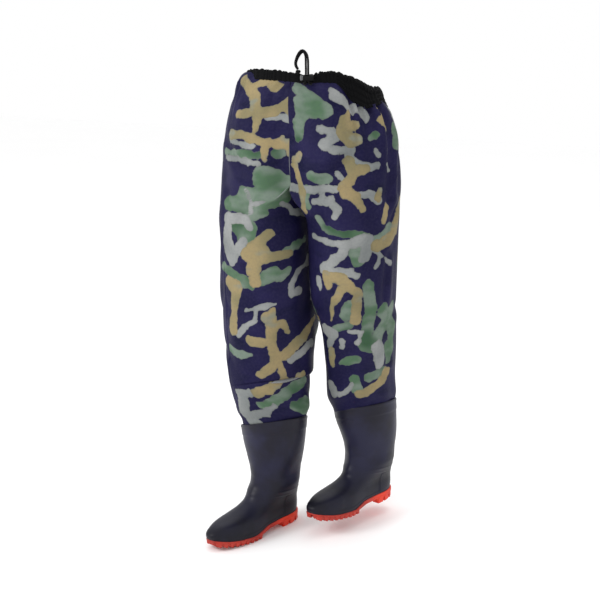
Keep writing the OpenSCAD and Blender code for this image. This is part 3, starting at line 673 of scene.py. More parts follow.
# Brush strokes of each colour as seen from the camera's side: [across, height, radius] in centimetres
PRINT_RIGHT = {
    "tan": [
        [[-15.6, -1.6, .9], [-14.2, -3.6, 1], [-12.8, -5.4, 1.3], [-12.6, -9.8, 1.3], [-12.7, -12.4, .9]],
        [[-12.9, -8.7, .9], [-15, -9.2, .9], [-17, -9.4, .9]],
        [[-13.3, -3.2, .8], [-11, -1.6, .8], [-9.2, -1.6, .8], [-7.5, -3, .7]],
        [[-12.4, -8.6, .9], [-10.4, -8.6, .9], [-7.9, -8.2, 1.1], [-5.1, -6.4, 1.4], [-4.6, -8, 1.2]],
        [[-18.8, -14.4, .9], [-15.7, -14.4, .9], [-12.2, -15, .9]],
        [[-11, -15.6, .7], [-9.2, -15.9, .7], [-6.7, -14.6, .6]],
        [[-10.4, -17, .8], [-10.4, -19, .7]],
        [[-7.8, -16.4, .8], [-4.8, -15.8, .9], [-4.6, -18, .8]],
        [[-9.3, -36.9, .9], [-11.4, -38.9, 1.2], [-13.2, -41, 1.6], [-14.6, -43, 1.4]],
        [[-14.6, -43, 1.4], [-12, -43.3, 1.4], [-8.2, -43, .9], [-4.6, -42, .8]],
        [[-13.2, -41, 1.3], [-10.6, -41.2, 1]],
        [[-13.4, -44, 1.4], [-13.4, -45.8, 1.5], [-13, -49.2, 1.2]],
        [[-19.8, -50.2, 1.5], [-17.6, -51, 1.6], [-18.4, -56.6, 1.3], [-18.8, -61.8, 1.1]],
        [[-9, -55.9, .8], [-9.3, -57.9, 1.2], [-9, -60, 1.2], [-9.4, -64.2, 1.1], [-7.7, -69, 1.3]],
        [[-9.3, -58.4, .8], [-10.8, -57.6, .7]],
        [[-8.8, -60.2, .9], [-6.4, -59.4, .8], [-4.9, -61.6, .7]],
        [[-9.4, -63.9, 1.1], [-14.2, -63.9, 1.1]],
        [[-7.7, -69, 1], [-9.7, -70.6, .9], [-11.9, -72.2, .8]],
        [[-7.3, -69.2, .9], [-6.3, -72.2, .8]],
        [[-7.3, -68.2, .9], [-4.3, -66.6, 1.2], [-1.6, -64.2, 1.2], [1.2, -60.6, .7]],
        [[-13.2, -76.8, .9], [-9.4, -75.8, .9], [-6.2, -74.2, .9]],
        [[-3, -74.2, .8], [-1.6, -73.6, .7]],
    ],
    "green": [
        [[-1.6, -83.2, 1.4], [-0.2, -84, 1.5]],
        [[-12, -23.5, 2.2], [-8.5, -24.6, 2.6], [-5.2, -27, 2.4]],
        [[-16, -28, 1.6], [-11.5, -28.6, 2.2], [-6, -28.2, 2]],
        [[-19.6, -31, 1.6], [-15, -30.2, 1.8], [-14.2, -33, 1.5], [-12, -31.6, 1.5]],
        [[-20, -18.7, .6], [-15.5, -18.9, .7], [-11.7, -19, .8]],
        [[-7.8, -18, 1], [-6.8, -18.2, .9]],
        [[-17, -36.2, 1.7], [-16.4, -38.4, 1.5]],
        [[-13.4, -35.6, 1.2], [-14.6, -38.6, 1.3], [-16, -41.4, 1.1]],
        [[-5.6, -42, .9], [-3.4, -40.6, .9], [-1.2, -39.6, .5]],
        [[-11, -48.4, 1.5], [-9, -47.4, 1.7], [-6.6, -47.4, 1.3], [-5.4, -46.6, .8]],
        [[-20.6, -46.8, 1.1], [-16, -49, 1.2], [-13.6, -50, 1.1]],
        [[-19.4, -66.8, .7], [-17, -67.6, 1], [-14.2, -67.2, .3]],
        [[-11.8, -80.2, .7], [-8.2, -79, 1], [-4.4, -76.4, 1], [-1.4, -75, 1.1]],
        [[-3, -81.6, 1.6], [-.6, -81.4, 1.7]],
    ],
    "grey": [
        [[-15, -83.6, 1.2], [-14.4, -85, 1.2], [-12.2, -85.4, 1]],
        [[-9.2, -9.9, .8], [-4.8, -9.4, .9]],
        [[-18.8, -16, .5], [-12.9, -16.3, .5]],
        [[-19.8, -20, .5], [-12.2, -20.4, .5]],
        [[-15.4, -27, .3], [-13.8, -29.2, .4], [-14.1, -32.2, .4]],
        [[-14, -30.4, .3], [-10.4, -29.4, .25]],
        [[-20, -34.4, 1.2], [-15, -34.2, .9], [-14, -35.6, .8]],
        [[-19.6, -36, 1.5], [-19.6, -40, 1.8], [-18.6, -43.6, 2]],
        [[-17, -41, 1.3], [-15.8, -39, .9]],
        [[-6.8, -30.2, .35], [-4.8, -31, .6], [-4.3, -32.6, .7], [-1.2, -33.1, .9]],
        [[-.4, -44.2, .5], [.1, -45.4, .7], [-3, -47.2, .6], [-4.4, -49.4, .6], [-4.5, -52.2, .7],
         [-2.3, -52.3, .8]],
        [[-15.2, -55.9, .3], [-12, -55.2, .5], [-8, -54.5, .3]],
        [[-13, -56.5, .4], [-13.2, -58.6, .6], [-15.8, -60.6, .5], [-17.2, -62.4, .5]],
        [[-4.6, -69.2, .8], [-1, -67.4, .9], [.6, -66.4, .9]],
        [[-17, -78, 1], [-14.7, -76.7, .8]],
        [[-16.2, -79.4, 1.5], [-16.2, -83.2, 1.5]],
        [[-15.2, -83.7, .8], [-11.3, -82.5, .8], [-8.7, -80.6, .8]],
        [[.6, -55.1, .35], [1.6, -55.1, .3]],
    ],
}
PRINT_LEFT = {
    "tan": [
        [[21.3, -29.4, 0.9], [21, -33, 1.2], [20.2, -36.4, 1.4]],
        [[9, -8.4, .8], [8, -10.2, 1], [7.3, -12.2, 1.2], [9, -14.6, 1.5], [10.4, -14.4, .9]],
        [[8.6, -11.4, .9], [10.6, -11.3, .8]],
        [[8.7, -19.4, 1.2], [9.5, -21.4, 1.3], [12.4, -21, 1]],
        [[9.4, -22.8, 1], [7.9, -24.6, 1.2], [8.3, -26.8, 1.3], [10.4, -27.8, 1.1], [11.9, -30.2, .7]],
        [[16.2, -26, .8], [15.9, -27.8, .7]],
        [[16.4, -10, .5], [17.4, -12.6, .5]],
        [[17.8, -30.6, .9], [17.2, -33.2, .8]],
        [[3.7, -46.9, 1.1], [6.6, -46.6, 1.1], [9.2, -48.2, 1.2], [11.1, -50.6, 1.1], [10.9, -57.8, 1]],
        [[3.9, -47.6, .8], [4.2, -49.4, .7]],
        [[8, -49.4, .8], [6.4, -51.6, .8], [5.1, -54.6, .6], [5.2, -58, .2]],
        [[5.2, -66.8, .9], [5.5, -70.8, .7]],
        [[12.1, -78.6, .9], [14.2, -77.8, 1], [17.4, -75.9, .9], [19.2, -73, .9]],
        [[15.6, -39.4, 1.2], [19.4, -37.4, 1.3]],
        [[-3.6, -19.6, .8], [-2.2, -18, .7]],
        [[-3.4, -21, .9], [-2.4, -24, .9], [-1.9, -27, .8], [-1.4, -30.8, .5]],
    ],
    "green": [
        [[19.8, -56, 1.6], [20.2, -62, 1.6], [20, -67, 1.4]],
        [[-2.8, -3.4, 1.4], [0, -6.8, 2.4], [3.4, -8, 1.6]],
        [[-2.4, -6, 1.5], [-2, -9, 1.6], [-2.8, -14.2, .9]],
        [[.6, -23, 1], [2.6, -23.2, 1.1], [4.6, -23.3, .7]],
        [[2, -32.6, .5], [3.3, -34.7, .6], [5.1, -35.9, .6], [9.5, -36.5, .6], [13.4, -36.6, .7]],
        [[11.2, -40.2, 1.9], [11.6, -42.2, 1.8]],
        [[9.6, -53.2, 1], [8.2, -56.5, 1.1]],
        [[6.2, -60.4, .8], [9.4, -59.2, .8]],
        [[7.6, -69.8, .5], [9.6, -69, .8], [11.6, -68.8, .6]],
        [[11, -73.8, 1], [11.8, -77, 1.2]],
        [[13.9, -49.4, 1.2], [14.6, -54.2, 1.6], [14, -59, 1.6], [13.4, -64.4, 1.3]],
        [[17.6, -55.9, 1.9], [18.8, -58.6, 2.2], [17.4, -61.4, 2], [15, -65, 1.7]],
        [[19, -65.6, 1], [19.4, -70, 1]],
        [[14.6, -73.4, 1.2], [18.2, -73, 1.1]],
        [[18.4, -35.4, 1.3], [15.8, -38, 1.2]],
        [[13.6, -13.9, .5], [15, -13.6, .6]],
        [[-1.1, -25.4, .8], [-.6, -29.6, .8]],
        [[19.6, -11.8, .8], [20.4, -16.5, .9]],
    ],
    "grey": [
        [[19.4, -7.4, 0.8], [20.2, -12, 0.8]],
        [[2, -11.9, .8], [4.9, -12.4, 1], [5.4, -14, 1.1], [2.6, -15.5, .8]],
        [[4.9, -16.2, .8], [9.5, -16.8, .8], [9, -18, .9]],
        [[5.8, -4.2, 1.2], [7.8, -6.2, 1.2], [9, -8, 1]],
        [[10.2, -7, .8], [11.8, -8.4, .9], [12.8, -10.4, .5]],
        [[10.4, -19, .5], [13.8, -20.8, .6], [15.8, -20.2, .6]],
        [[6.3, -22, .6], [7.9, -23.6, .6]],
        [[5.8, -25.6, .7], [6.8, -26.8, .7]],
        [[.5, -28.8, .5], [3.3, -28.6, .8], [4.6, -27.6, .6], [3, -28, .5], [2.6, -26.6, .2]],
        [[4.8, -28.8, .5], [6.4, -30.4, .9], [5.8, -32, .6]],
        [[11, -27.4, .5], [13.6, -27, .8], [15.8, -28, .9]],
        [[.9, -37.4, .5], [5, -38.4, .7], [9.5, -38.6, 1.2], [13, -37.8, 1.5], [13, -42, 1.2]],
        [[8, -39, 1], [7.4, -41.4, 1], [5.2, -43.4, 1.1], [3.2, -45.4, 1.3], [9.6, -45.6, .9],
         [11, -46.4, .8]],
        [[2, -48, .9], [2.4, -50.2, .6]],
        [[3.7, -61.4, 1.3], [6, -62.4, 1.2], [4.8, -65.6, 1.1]],
        [[9.4, -61, .3], [12.4, -60.9, .4], [11.7, -64, .35]],
        [[7.6, -63.6, .6], [8.2, -65.4, .6]],
        [[5.2, -76.8, 1], [6.4, -79.4, 1]],
        [[7.4, -79.2, .5], [9, -78, .5], [10.4, -75.6, .5]],
        [[16.8, -66, 1.7], [17.4, -69.4, 1.8]],
        [[14.8, -40.4, .25], [19.4, -44.4, .25]],
        [[16.4, -42, .25], [15.6, -45, .25]],
        [[15.4, -17, .5], [15.9, -18, .4]],
        [[17.8, -20.4, .3], [18.2, -22, .4]],
    ],
}


FAR_OUTSIDE = -60.0          # the depth of places that lie well outside every stroke
TABLE_UNIT = 10              # the tables of strokes are in centimetres
UNSEEN_GAP = 400.0           # added to the distance of places turned away from the camera
# How many strokes of each colour the sides the photo doesn't show get, and their half widths
RANDOM_STROKES = {"green": (34, (12, 26)), "grey": (40, (6, 14)), "tan": (38, (8, 16))}


def stroke_distance(u, v, points, radii):
    """How deep inside a stroke each point lies, in millimetres; negative outside."""
    best = np.full(len(u), FAR_OUTSIDE)
    for (a, b), (ra, rb) in zip(zip(points, points[1:]), zip(radii, radii[1:])):
        ax, ay = a
        dx, dy = b[0] - ax, b[1] - ay
        length = dx * dx + dy * dy
        t = np.zeros(len(u)) if length < 1e-6 else np.clip(((u - ax) * dx + (v - ay) * dy) / length, 0, 1)
        gap = np.hypot(u - ax - t * dx, v - ay - t * dy)
        here = ra + (rb - ra) * t - gap
        best = np.maximum(best, here)
    return best


def joined(a, b, soft=3.0):
    """The deeper of two depths, rounded off where they meet."""
    h = np.clip(0.5 + 0.5 * (a - b) / soft, 0, 1)
    return b + (a - b) * h + soft * h * (1 - h)


def print_depths(leg, table, seed):
    """Depth inside each colour at every point of the chart."""
    normals = vertex_normals(leg.points, leg.faces)
    across, height = leg.points @ np.array(view_right), leg.points[:, 2]
    seen = normals @ np.array(view_back)
    hidden = (seen < 0.05) * UNSEEN_GAP
    unseen = ease((0.30 - seen) / 0.25)
    rng = np.random.default_rng(seed)
    low_u, high_u = leg.u.min(), leg.u.max()
    out = {}
    for colour in ("green", "grey", "tan"):
        depth = np.full(len(leg.u), FAR_OUTSIDE)
        for stroke in table[colour]:
            spots, radii = [], []
            for x, z, r in stroke:
                gap = np.hypot(across - x * TABLE_UNIT, height - z * TABLE_UNIT)
                nearest = np.argmin(gap + hidden)
                spots.append((leg.u[nearest], leg.v[nearest]))
                radii.append(r * TABLE_UNIT)
            depth = joined(depth, stroke_distance(leg.u, leg.v, spots, radii))
        other = np.full(len(leg.u), FAR_OUTSIDE)
        count, size = RANDOM_STROKES[colour]
        for _ in range(count):
            at = np.array([rng.uniform(low_u, high_u), rng.uniform(20, 880)])
            heading = rng.uniform(-0.5, 0.5) + math.pi * rng.integers(0, 2)
            spots, radii = [tuple(at)], [rng.uniform(*size)]
            for _ in range(rng.integers(2, 5)):
                heading += rng.uniform(-0.9, 0.9)
                at = at + rng.uniform(18, 40) * np.array([math.cos(heading), 0.75 * math.sin(heading)])
                spots.append(tuple(at))
                radii.append(rng.uniform(*size))
            other = joined(other, stroke_distance(leg.u, leg.v, spots, radii))
            if rng.uniform() < 0.7:
                root = spots[len(spots) // 2]
                turn = rng.uniform(0, 2 * math.pi)
                tip = (root[0] + 34 * math.cos(turn), root[1] + 30 * math.sin(turn))
                widths = [size[0] * 1.2, size[0]]
                other = joined(other, stroke_distance(leg.u, leg.v, [root, tip], widths))
        out[colour] = joined(depth, other - 40 * (1 - unseen))
    return out


# ---- materials ----


class Nodes:
    """Short names for building a node material."""

    def __init__(self, name):
        self.material = bpy.data.materials.new(name)
        self.material.use_nodes = True
        self.tree = self.material.node_tree
        self.shader = self.tree.nodes["Principled BSDF"]

    def put(self, value, socket):
        if isinstance(value, bpy.types.NodeSocket):
            self.tree.links.new(value, socket)
        else:
            socket.default_value = value

    def add(self, kind, output, sockets=None, **settings):
        """A new node with values or links in its sockets; gives back the named output."""
        node = self.tree.nodes.new("ShaderNode" + kind)
        for name, value in settings.items():
            setattr(node, name, value)
        for name, value in (sockets or {}).items():
            self.put(value, node.inputs[name])
        return node.outputs[output]

    def math(self, kind, a, b):
        return self.add("Math", 0, {0: a, 1: b}, operation=kind)

    def times(self, value, factor, plus=None):
        product = self.math("MULTIPLY", value, factor)
        return product if plus is None else self.math("ADD", product, plus)

    def mix(self, share, a, b):
        return self.add("Mix", 2, {"Factor": share, 6: a, 7: b}, data_type="RGBA")

    def ramp(self, value, low, high):
        sockets = {"Value": value, "From Min": low, "From Max": high}
        return self.add("MapRange", 0, sockets, interpolation_type="SMOOTHSTEP")

    def attribute(self, name):
        return self.add("Attribute", "Fac", attribute_name=name)

    def uv(self):
        return self.add("UVMap", 0, uv_map="cloth")

    def place(self):
        return self.add("TexCoord", "Object")

    def scaled(self, vector, x, y, z=1.0):
        return self.add("Mapping", 0, {"Scale": (x, y, z), "Vector": vector})

    def noise(self, vector, scale, detail=2.0, rough=0.5):
        sockets = {"Vector": vector, "Scale": scale, "Detail": detail, "Roughness": rough}
        return self.add("TexNoise", "Fac", sockets)

    def wave(self, vector, scale, direction, distortion=0.0):
        sockets = {"Vector": vector, "Scale": scale, "Distortion": distortion}
        return self.add("TexWave", "Fac", sockets, bands_direction=direction)

    def weave(self, vector, scale):
        return self.math("MULTIPLY", self.wave(vector, scale, "X"), self.wave(vector, scale, "Y"))

    def bump(self, height, strength, distance, before=None):
        sockets = {"Height": height, "Strength": strength, "Distance": distance}
        if before is not None:
            sockets["Normal"] = before
        return self.add("Bump", 0, sockets)

    def finish(self, colour, roughness, normal=None, **constants):
        sockets = {"Base Color": colour, "Roughness": roughness}
        if normal is not None:
            sockets["Normal"] = normal
        sockets.update({name.replace("_", " "): value for name, value in constants.items()})
        for name, value in sockets.items():
            self.put(value, self.shader.inputs[name])
        return self.material


def rgb(r, g, b):
    """A linear colour from 0 to 255 screen values."""
    channels = (((c / 255 + 0.055) / 1.055) ** 2.4 if c > 10 else c / 255 / 12.92 for c in (r, g, b))
    return tuple(channels) + (1.0,)


LOBE_SIZE, RAGGED_SIZE = 20.0, 7.0      # millimetres by which noise moves the edges of the print
STROKE_SPREAD = 2.0                     # millimetres added all round the strokes


def camo_material():
    n = Nodes("camouflage_fabric")
    uv = n.uv()
    lobes = n.times(n.math("SUBTRACT", n.noise(uv, 30, 1.5), 0.5), LOBE_SIZE)
    ragged = n.times(n.math("SUBTRACT", n.noise(uv, 95, 3.0), 0.5), RAGGED_SIZE)
    wobble = n.math("ADD", n.math("ADD", lobes, ragged), STROKE_SPREAD)
    tone = n.noise(uv, 9, 2.0)
    other_tone = n.noise(n.scaled(uv, 1.0, 1.7), 13, 2.0)
    fine = n.noise(uv, 160, 3.0)
    colour = n.mix(n.ramp(tone, 0.35, 0.7), rgb(20, 18, 50), rgb(30, 27, 62))
    colour = n.mix(n.ramp(other_tone, 0.5, 0.75), colour, rgb(12, 13, 42))
    plain = {
        "green": n.mix(n.ramp(other_tone, 0.38, 0.62), rgb(72, 98, 74), rgb(104, 118, 106)),
        "grey": n.mix(n.ramp(tone, 0.35, 0.65), rgb(114, 118, 117), rgb(138, 140, 139)),
        "tan": n.mix(n.ramp(tone, 0.35, 0.62), rgb(120, 112, 82), rgb(144, 129, 94)),
    }
    plain["green"] = n.mix(n.ramp(tone, 0.52, 0.68), plain["green"], rgb(54, 82, 58))
    plain["tan"] = n.mix(n.ramp(other_tone, 0.56, 0.72), plain["tan"], rgb(120, 122, 108))
    for name in ("green", "grey", "tan"):
        depth = n.math("ADD", n.attribute(name), wobble)
        rim = n.ramp(depth, -1.1, -0.3)
        inside = n.ramp(depth, -0.3, 0.4)
        pale = n.mix(0.42, colour, rgb(124, 128, 116))
        dark = n.mix(n.ramp(depth, 0.6, 4.5), n.mix(0.18, plain[name], rgb(60, 66, 60)), plain[name])
        colour = n.mix(n.times(rim, 0.8), colour, pale)
        colour = n.mix(inside, colour, dark)
    colour = n.mix(n.times(n.ramp(fine, 0.35, 0.75), 0.13), colour, rgb(64, 62, 84))
    crumple = n.noise(n.scaled(uv, 1.0, 0.6), 34, 4.0, 0.55)
    normal = n.bump(n.weave(uv, 420), 0.25, 0.00025, n.bump(crumple, 0.5, 0.0016))
    return n.finish(colour, n.times(fine, 0.16, 0.46), normal, Specular_IOR_Level=0.07)


def coating_material(name, base):
    """The plain coated inside of the fabric, and its seam tape."""
    n = Nodes(name)
    uv = n.uv()
    cloud = n.noise(uv, 24, 3.0)
    colour = n.mix(cloud, base, tuple(c * 0.72 for c in base[:3]) + (1.0,))
    return n.finish(colour, n.times(cloud, 0.2, 0.4), n.bump(n.weave(uv, 380), 0.3, 0.0002))


def band_material():
    n = Nodes("black_elastic")
    place = n.place()
    rib = n.wave(place, 210, "Z", 0.6)
    fuzz = n.noise(place, 900, 3.0)
    colour = n.mix(n.times(n.math("ADD", rib, fuzz), 0.5), rgb(3, 3, 4), rgb(16, 16, 17))
    normal = n.bump(fuzz, 0.35, 0.0004, n.bump(rib, 0.5, 0.0005))
    return n.finish(colour, 0.86, normal, Specular_IOR_Level=0.07, Sheen_Weight=0.02, Sheen_Roughness=0.4)


def cord_material():
    n = Nodes("braided_cord")
    place = n.place()
    fuzz = n.noise(place, 1500, 2.0)
    colour = n.mix(fuzz, rgb(4, 4, 5), rgb(20, 20, 22))
    return n.finish(colour, 0.85, n.bump(fuzz, 0.4, 0.0003), Specular_IOR_Level=0.12)


def boot_material():
    n = Nodes("boot_rubber")
    place = n.place()
    cloud = n.noise(place, 11, 3.0)
    fine = n.noise(place, 420, 3.0)
    scuff = n.noise(n.scaled(place, 1.0, 1.0, 3.0), 60, 4.0, 0.65)
    colour = n.mix(n.ramp(cloud, 0.35, 0.65), rgb(26, 25, 36), rgb(34, 34, 55))
    colour = n.mix(n.times(n.attribute("foot"), 0.55), colour, rgb(11, 11, 15))
    colour = n.mix(n.times(n.ramp(scuff, 0.58, 0.85), 0.35), colour, rgb(56, 50, 54))
    normal = n.bump(fine, 0.22, 0.0003, n.bump(cloud, 0.3, 0.002))
    return n.finish(
        colour, n.times(scuff, 0.24, 0.3), normal,
        Specular_IOR_Level=0.16, Coat_Weight=0.03, Coat_Roughness=0.3,
    )


def sole_material():
    n = Nodes("red_sole")
    place = n.place()
    cloud = n.noise(place, 20, 3.0)
    dirt = n.noise(place, 120, 4.0, 0.6)
    fore = n.mix(n.ramp(cloud, 0.3, 0.7), rgb(158, 42, 32), rgb(182, 54, 42))
    heel = n.mix(n.ramp(cloud, 0.3, 0.7), rgb(206, 46, 24), rgb(222, 58, 32))
    colour = n.mix(n.attribute("heel"), fore, heel)
    colour = n.mix(n.times(n.ramp(dirt, 0.55, 0.85), 0.4), colour, rgb(120, 36, 30))
    normal = n.bump(dirt, 0.3, 0.0006)
    return n.finish(colour, n.times(dirt, 0.25, 0.38), normal, Specular_IOR_Level=0.3)


def plastic_material(name, low, high, rough=0.34, gloss=0.5):
    n = Nodes(name)
    place = n.place()
    grain = n.noise(place, 900, 3.0)
    cloud = n.noise(place, 90, 2.0)
    normal = n.bump(grain, 0.25, 0.0002)
    return n.finish(n.mix(cloud, low, high), n.times(grain, 0.2, rough), normal, Specular_IOR_Level=gloss)


def metal_material(name):
    n = Nodes(name)
    grain = n.noise(n.place(), 700, 3.0)
    colour = n.mix(grain, rgb(150, 150, 152), rgb(196, 196, 198))
    return n.finish(colour, n.times(grain, 0.2, 0.22), n.bump(grain, 0.2, 0.0001), Metallic=1.0)


CAMO = camo_material()
COATING = coating_material("coated_inside", rgb(120, 122, 124))
TAPE = coating_material("seam_tape", rgb(92, 94, 98))
BAND = band_material()
CORD = cord_material()
BOOT = boot_material()
SOLE = sole_material()
# The plunger's mid grey is partly its plastic's colour and partly a painted glint: it is kept lighter than
# the black barrel to stand for a glint at the foot of the cord loop.
PLUNGER_GREY_AND_GLINT = plastic_material("grey_plastic", rgb(74, 75, 77), rgb(102, 103, 104))
BARREL = plastic_material("black_plastic", rgb(4, 4, 5), rgb(12, 12, 13), 0.5, 0.12)
EYELET = plastic_material("eyelet_grey", rgb(14, 14, 15), rgb(28, 28, 30), 0.5, 0.15)
METAL = metal_material("spring_steel")
FOAM = plastic_material("insole_foam", rgb(80, 82, 84), rgb(104, 106, 108), 0.7)
LINING = plastic_material("boot_lining_knit", rgb(104, 106, 108), rgb(142, 144, 146), 0.6)

for piece in (knot, right_end, left_end):
    piece.data.materials.append(CORD)

# ---- trousers: the pieces ----

# Where each leg's fabric ends in its boot, and where its two pieces meet
RIGHT_BOTTOM, RIGHT_SPLIT = -896, -528
LEFT_BOTTOM, LEFT_SPLIT = -874, -500


def fabric_object(name, leg, keep, normals, prints):
    """A closed sheet, FABRIC thick, from the chosen faces of a leg's grid."""
    chosen = [f for f, wanted in zip(leg.faces, keep) if wanted]
    used = np.unique(np.array(chosen))
    number = np.full(len(leg.points), -1)
    number[used] = np.arange(len(used))
    outer = leg.points[used]
    inner = outer - normals[used] * FABRIC
    faces = [tuple(int(number[i]) for i in f) for f in chosen]
    total = len(used)
    inside = [tuple(i + total for i in reversed(f)) for f in faces]
    edges = {}
    for f in faces:
        for a, b in zip(f, f[1:] + f[:1]):
            edges[(a, b)] = edges.get((a, b), 0) + 1
    rims = [(b, a, a + total, b + total) for (a, b) in edges if (b, a) not in edges]
    obj = add_mesh(name, np.concatenate([outer, inner]), faces + inside + rims)
    mesh = obj.data
    mesh.materials.append(CAMO)
    mesh.materials.append(COATING)
    slots = [0] * len(faces) + [1] * len(inside) + [0] * len(rims)
    mesh.polygons.foreach_set("material_index", slots)
    set_uvs(mesh, np.tile(np.stack([leg.u[used], leg.v[used]], axis=1), (2, 1)) * MM)
    for colour, depth in prints.items():
        set_attribute(mesh, colour, np.tile(depth[used], 2))
    both = np.concatenate([normals[used], -normals[used]])
    mesh.normals_split_custom_set_from_vertices(both.tolist())
    return obj


def make_leg(side, word, table, bottom, split, prints_table):
    """One side's fabric in two pieces, with its grid and the grid's normals."""
    leg = Leg(side, table, bottom)
    leg.shape()
    prints = print_depths(leg, prints_table, 300 + side)
    normals = vertex_normals(leg.points, leg.faces)
    rows = leg.row_of[np.array([f[0] for f in leg.faces])]
    heights = np.array([leg.rows[k][:, 2].mean() for k in range(len(leg.rows))])
    cut = int(np.argmax(heights < split))
    upper = fabric_object(f"{word}_seat_and_thigh", leg, rows < cut, normals, prints)
    lower = fabric_object(f"{word}_knee_and_shin", leg, rows >= cut, normals, prints)
    return leg, normals, upper, lower


right_leg, right_normals, right_upper, right_lower = make_leg(
    -1, "right", RIGHT_LEG, RIGHT_BOTTOM, RIGHT_SPLIT, PRINT_RIGHT,
)
left_leg, left_normals, left_upper, left_lower = make_leg(
    1, "left", LEFT_LEG, LEFT_BOTTOM, LEFT_SPLIT, PRINT_LEFT,
)

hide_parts("seat_front_right", "seat_back_right", "right_hip_fabric", "right_thigh_fabric")
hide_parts("right_knee_fabric", "right_lower_leg_fabric")
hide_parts("seat_front_left", "seat_back_left", "left_hip_fabric", "left_thigh_fabric")
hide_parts("left_knee_fabric", "left_lower_leg_fabric")
for side, word, upper in ((-1, "right", right_upper), (1, "left", left_upper)):
    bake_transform(upper)
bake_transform(right_lower)
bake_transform(left_lower)

# ---- trousers: seam tapes and gusset ----

TAPE_COLUMNS = 2            # columns of the leg's grid on each side of a seam
LEG_TAPE_TOP = -345
RIGHT_TAPE_END, LEFT_TAPE_END = -520, -490


def tape(name, centre_rows, inward_rows):
    """A flat strip on the inside of the fabric, closed all round."""
    centre_rows, inward_rows = np.array(centre_rows), np.array(inward_rows)
    near = centre_rows + inward_rows * (FABRIC + 0.25)
    far = centre_rows + inward_rows * (FABRIC + 0.75)
    rows = np.concatenate([near, far[:, ::-1]], axis=1)
    obj = rows_mesh(name, rows, True, cap_start=True, cap_end=True)
    obj.data.materials.append(TAPE)
    set_uvs(obj.data, vertex_places(obj.data)[:, [0, 2]])
    return obj


def seam_between_sides(name, column):
    """The tape behind the seam that joins the two sides, at one end of their half rows."""
    reach = [column + k if column == 0 else column - k for k in range(TAPE_COLUMNS, -1, -1)]
    points, inward = [], []
    for k in range(4, right_leg.half_rows - 4):
        row = [left_leg.offset[k] + i for i in reach]
        other = [right_leg.offset[k] + i for i in reversed(reach[:-1])]
        points.append(np.concatenate([left_leg.points[row], right_leg.points[other]]))
        inward.append(-np.concatenate([left_normals[row], right_normals[other]]))
    return tape(name, points, inward)


def seam_down_leg(name, leg, normals, start, end):
    """The tape behind the side seam of a leg."""
    points, inward = [], []
    for k in range(leg.half_rows, len(leg.rows)):
        first = leg.offset[k]
        height = leg.points[first:first + HALF, 2].mean()
        if height > start or height < end:
            continue
        middle = float(along(SIDE_SEAM, height)[0]) / 180 * HALF
        at = np.array([middle + i for i in range(-TAPE_COLUMNS, TAPE_COLUMNS + 1)])
        low = np.floor(at).astype(int)
        share = (at - low)[:, None]
        points.append(leg.points[first + low] * (1 - share) + leg.points[first + low + 1] * share)
        inward.append(-(normals[first + low] * (1 - share) + normals[first + low + 1] * share))
    return tape(name, points, inward)


front_tape = seam_between_sides("front_seam_tape_sewn", 0)
back_tape = seam_between_sides("back_seam_tape_sewn", HALF)
right_tape = seam_down_leg(
    "right_leg_seam_tape_sewn", right_leg, right_normals, LEG_TAPE_TOP, RIGHT_TAPE_END,
)
left_tape = seam_down_leg(
    "left_leg_seam_tape_sewn", left_leg, left_normals, LEG_TAPE_TOP, LEFT_TAPE_END,
)
for piece, node in ((front_tape, "front_seam_tape"), (back_tape, "back_seam_tape")):
    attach(piece, "waist")
    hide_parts(node)
for side, word, piece in ((-1, "right", right_tape), (1, "left", left_tape)):
    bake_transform(piece)
    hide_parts(f"{word}_leg_seam_tape")

GUSSET_FRONT, GUSSET_BACK, GUSSET_HALF = -96, 122, 9


def gusset_piece():
    """The leaf-shaped panel between the legs, a little domed."""
    rows = []
    for t in np.linspace(-1, 1, 49):
        half = max(0.6, GUSSET_HALF * (1 - t * t))
        across = np.linspace(-1, 1, 9)
        y = (GUSSET_BACK + GUSSET_FRONT) / 2 + (GUSSET_BACK - GUSSET_FRONT) / 2 * t
        top = [[half * a, y, CROTCH_Z - 4 + 2.5 * (1 - a * a) * (1 - t * t)] for a in across]
        under = [[x, y, z - FABRIC] for x, y, z in reversed(top)]
        rows.append(top + under)
    obj = rows_mesh("crotch_gusset_sewn", rows, True, cap_start=True, cap_end=True)
    mesh = obj.data
    mesh.materials.append(CAMO)
    places = vertex_places(mesh)
    set_uvs(mesh, places[:, :2])
    for k, colour in enumerate(("tan", "green", "grey")):
        depth = 9 * ripple(places[:, 1] / MM, places[:, 0] / MM, 70 + k, 60, 60, 4) - 7
        set_attribute(mesh, colour, depth)
    return obj


gusset = gusset_piece()
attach(gusset, "waist")
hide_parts("crotch_gusset")

# ---- waistband ----

CASING_HALF = 5.5
BAND_STEPS = 900
STITCH_LINES = (-0.27, -0.52, -0.77)    # seams along the wide band, as shares of its height


def bumps(arc, size, seed):
    """Rounded gathers along a hem: 1 on a gather and 0 between two, of uneven width."""
    rng = np.random.default_rng(seed)
    phase = arc / size
    for wave_length in (47.0, 83.0, 150.0):
        phase = phase + 0.32 * np.sin(2 * math.pi * (arc / wave_length + rng.uniform()))
    return np.abs(np.sin(math.pi * phase)) ** 0.6


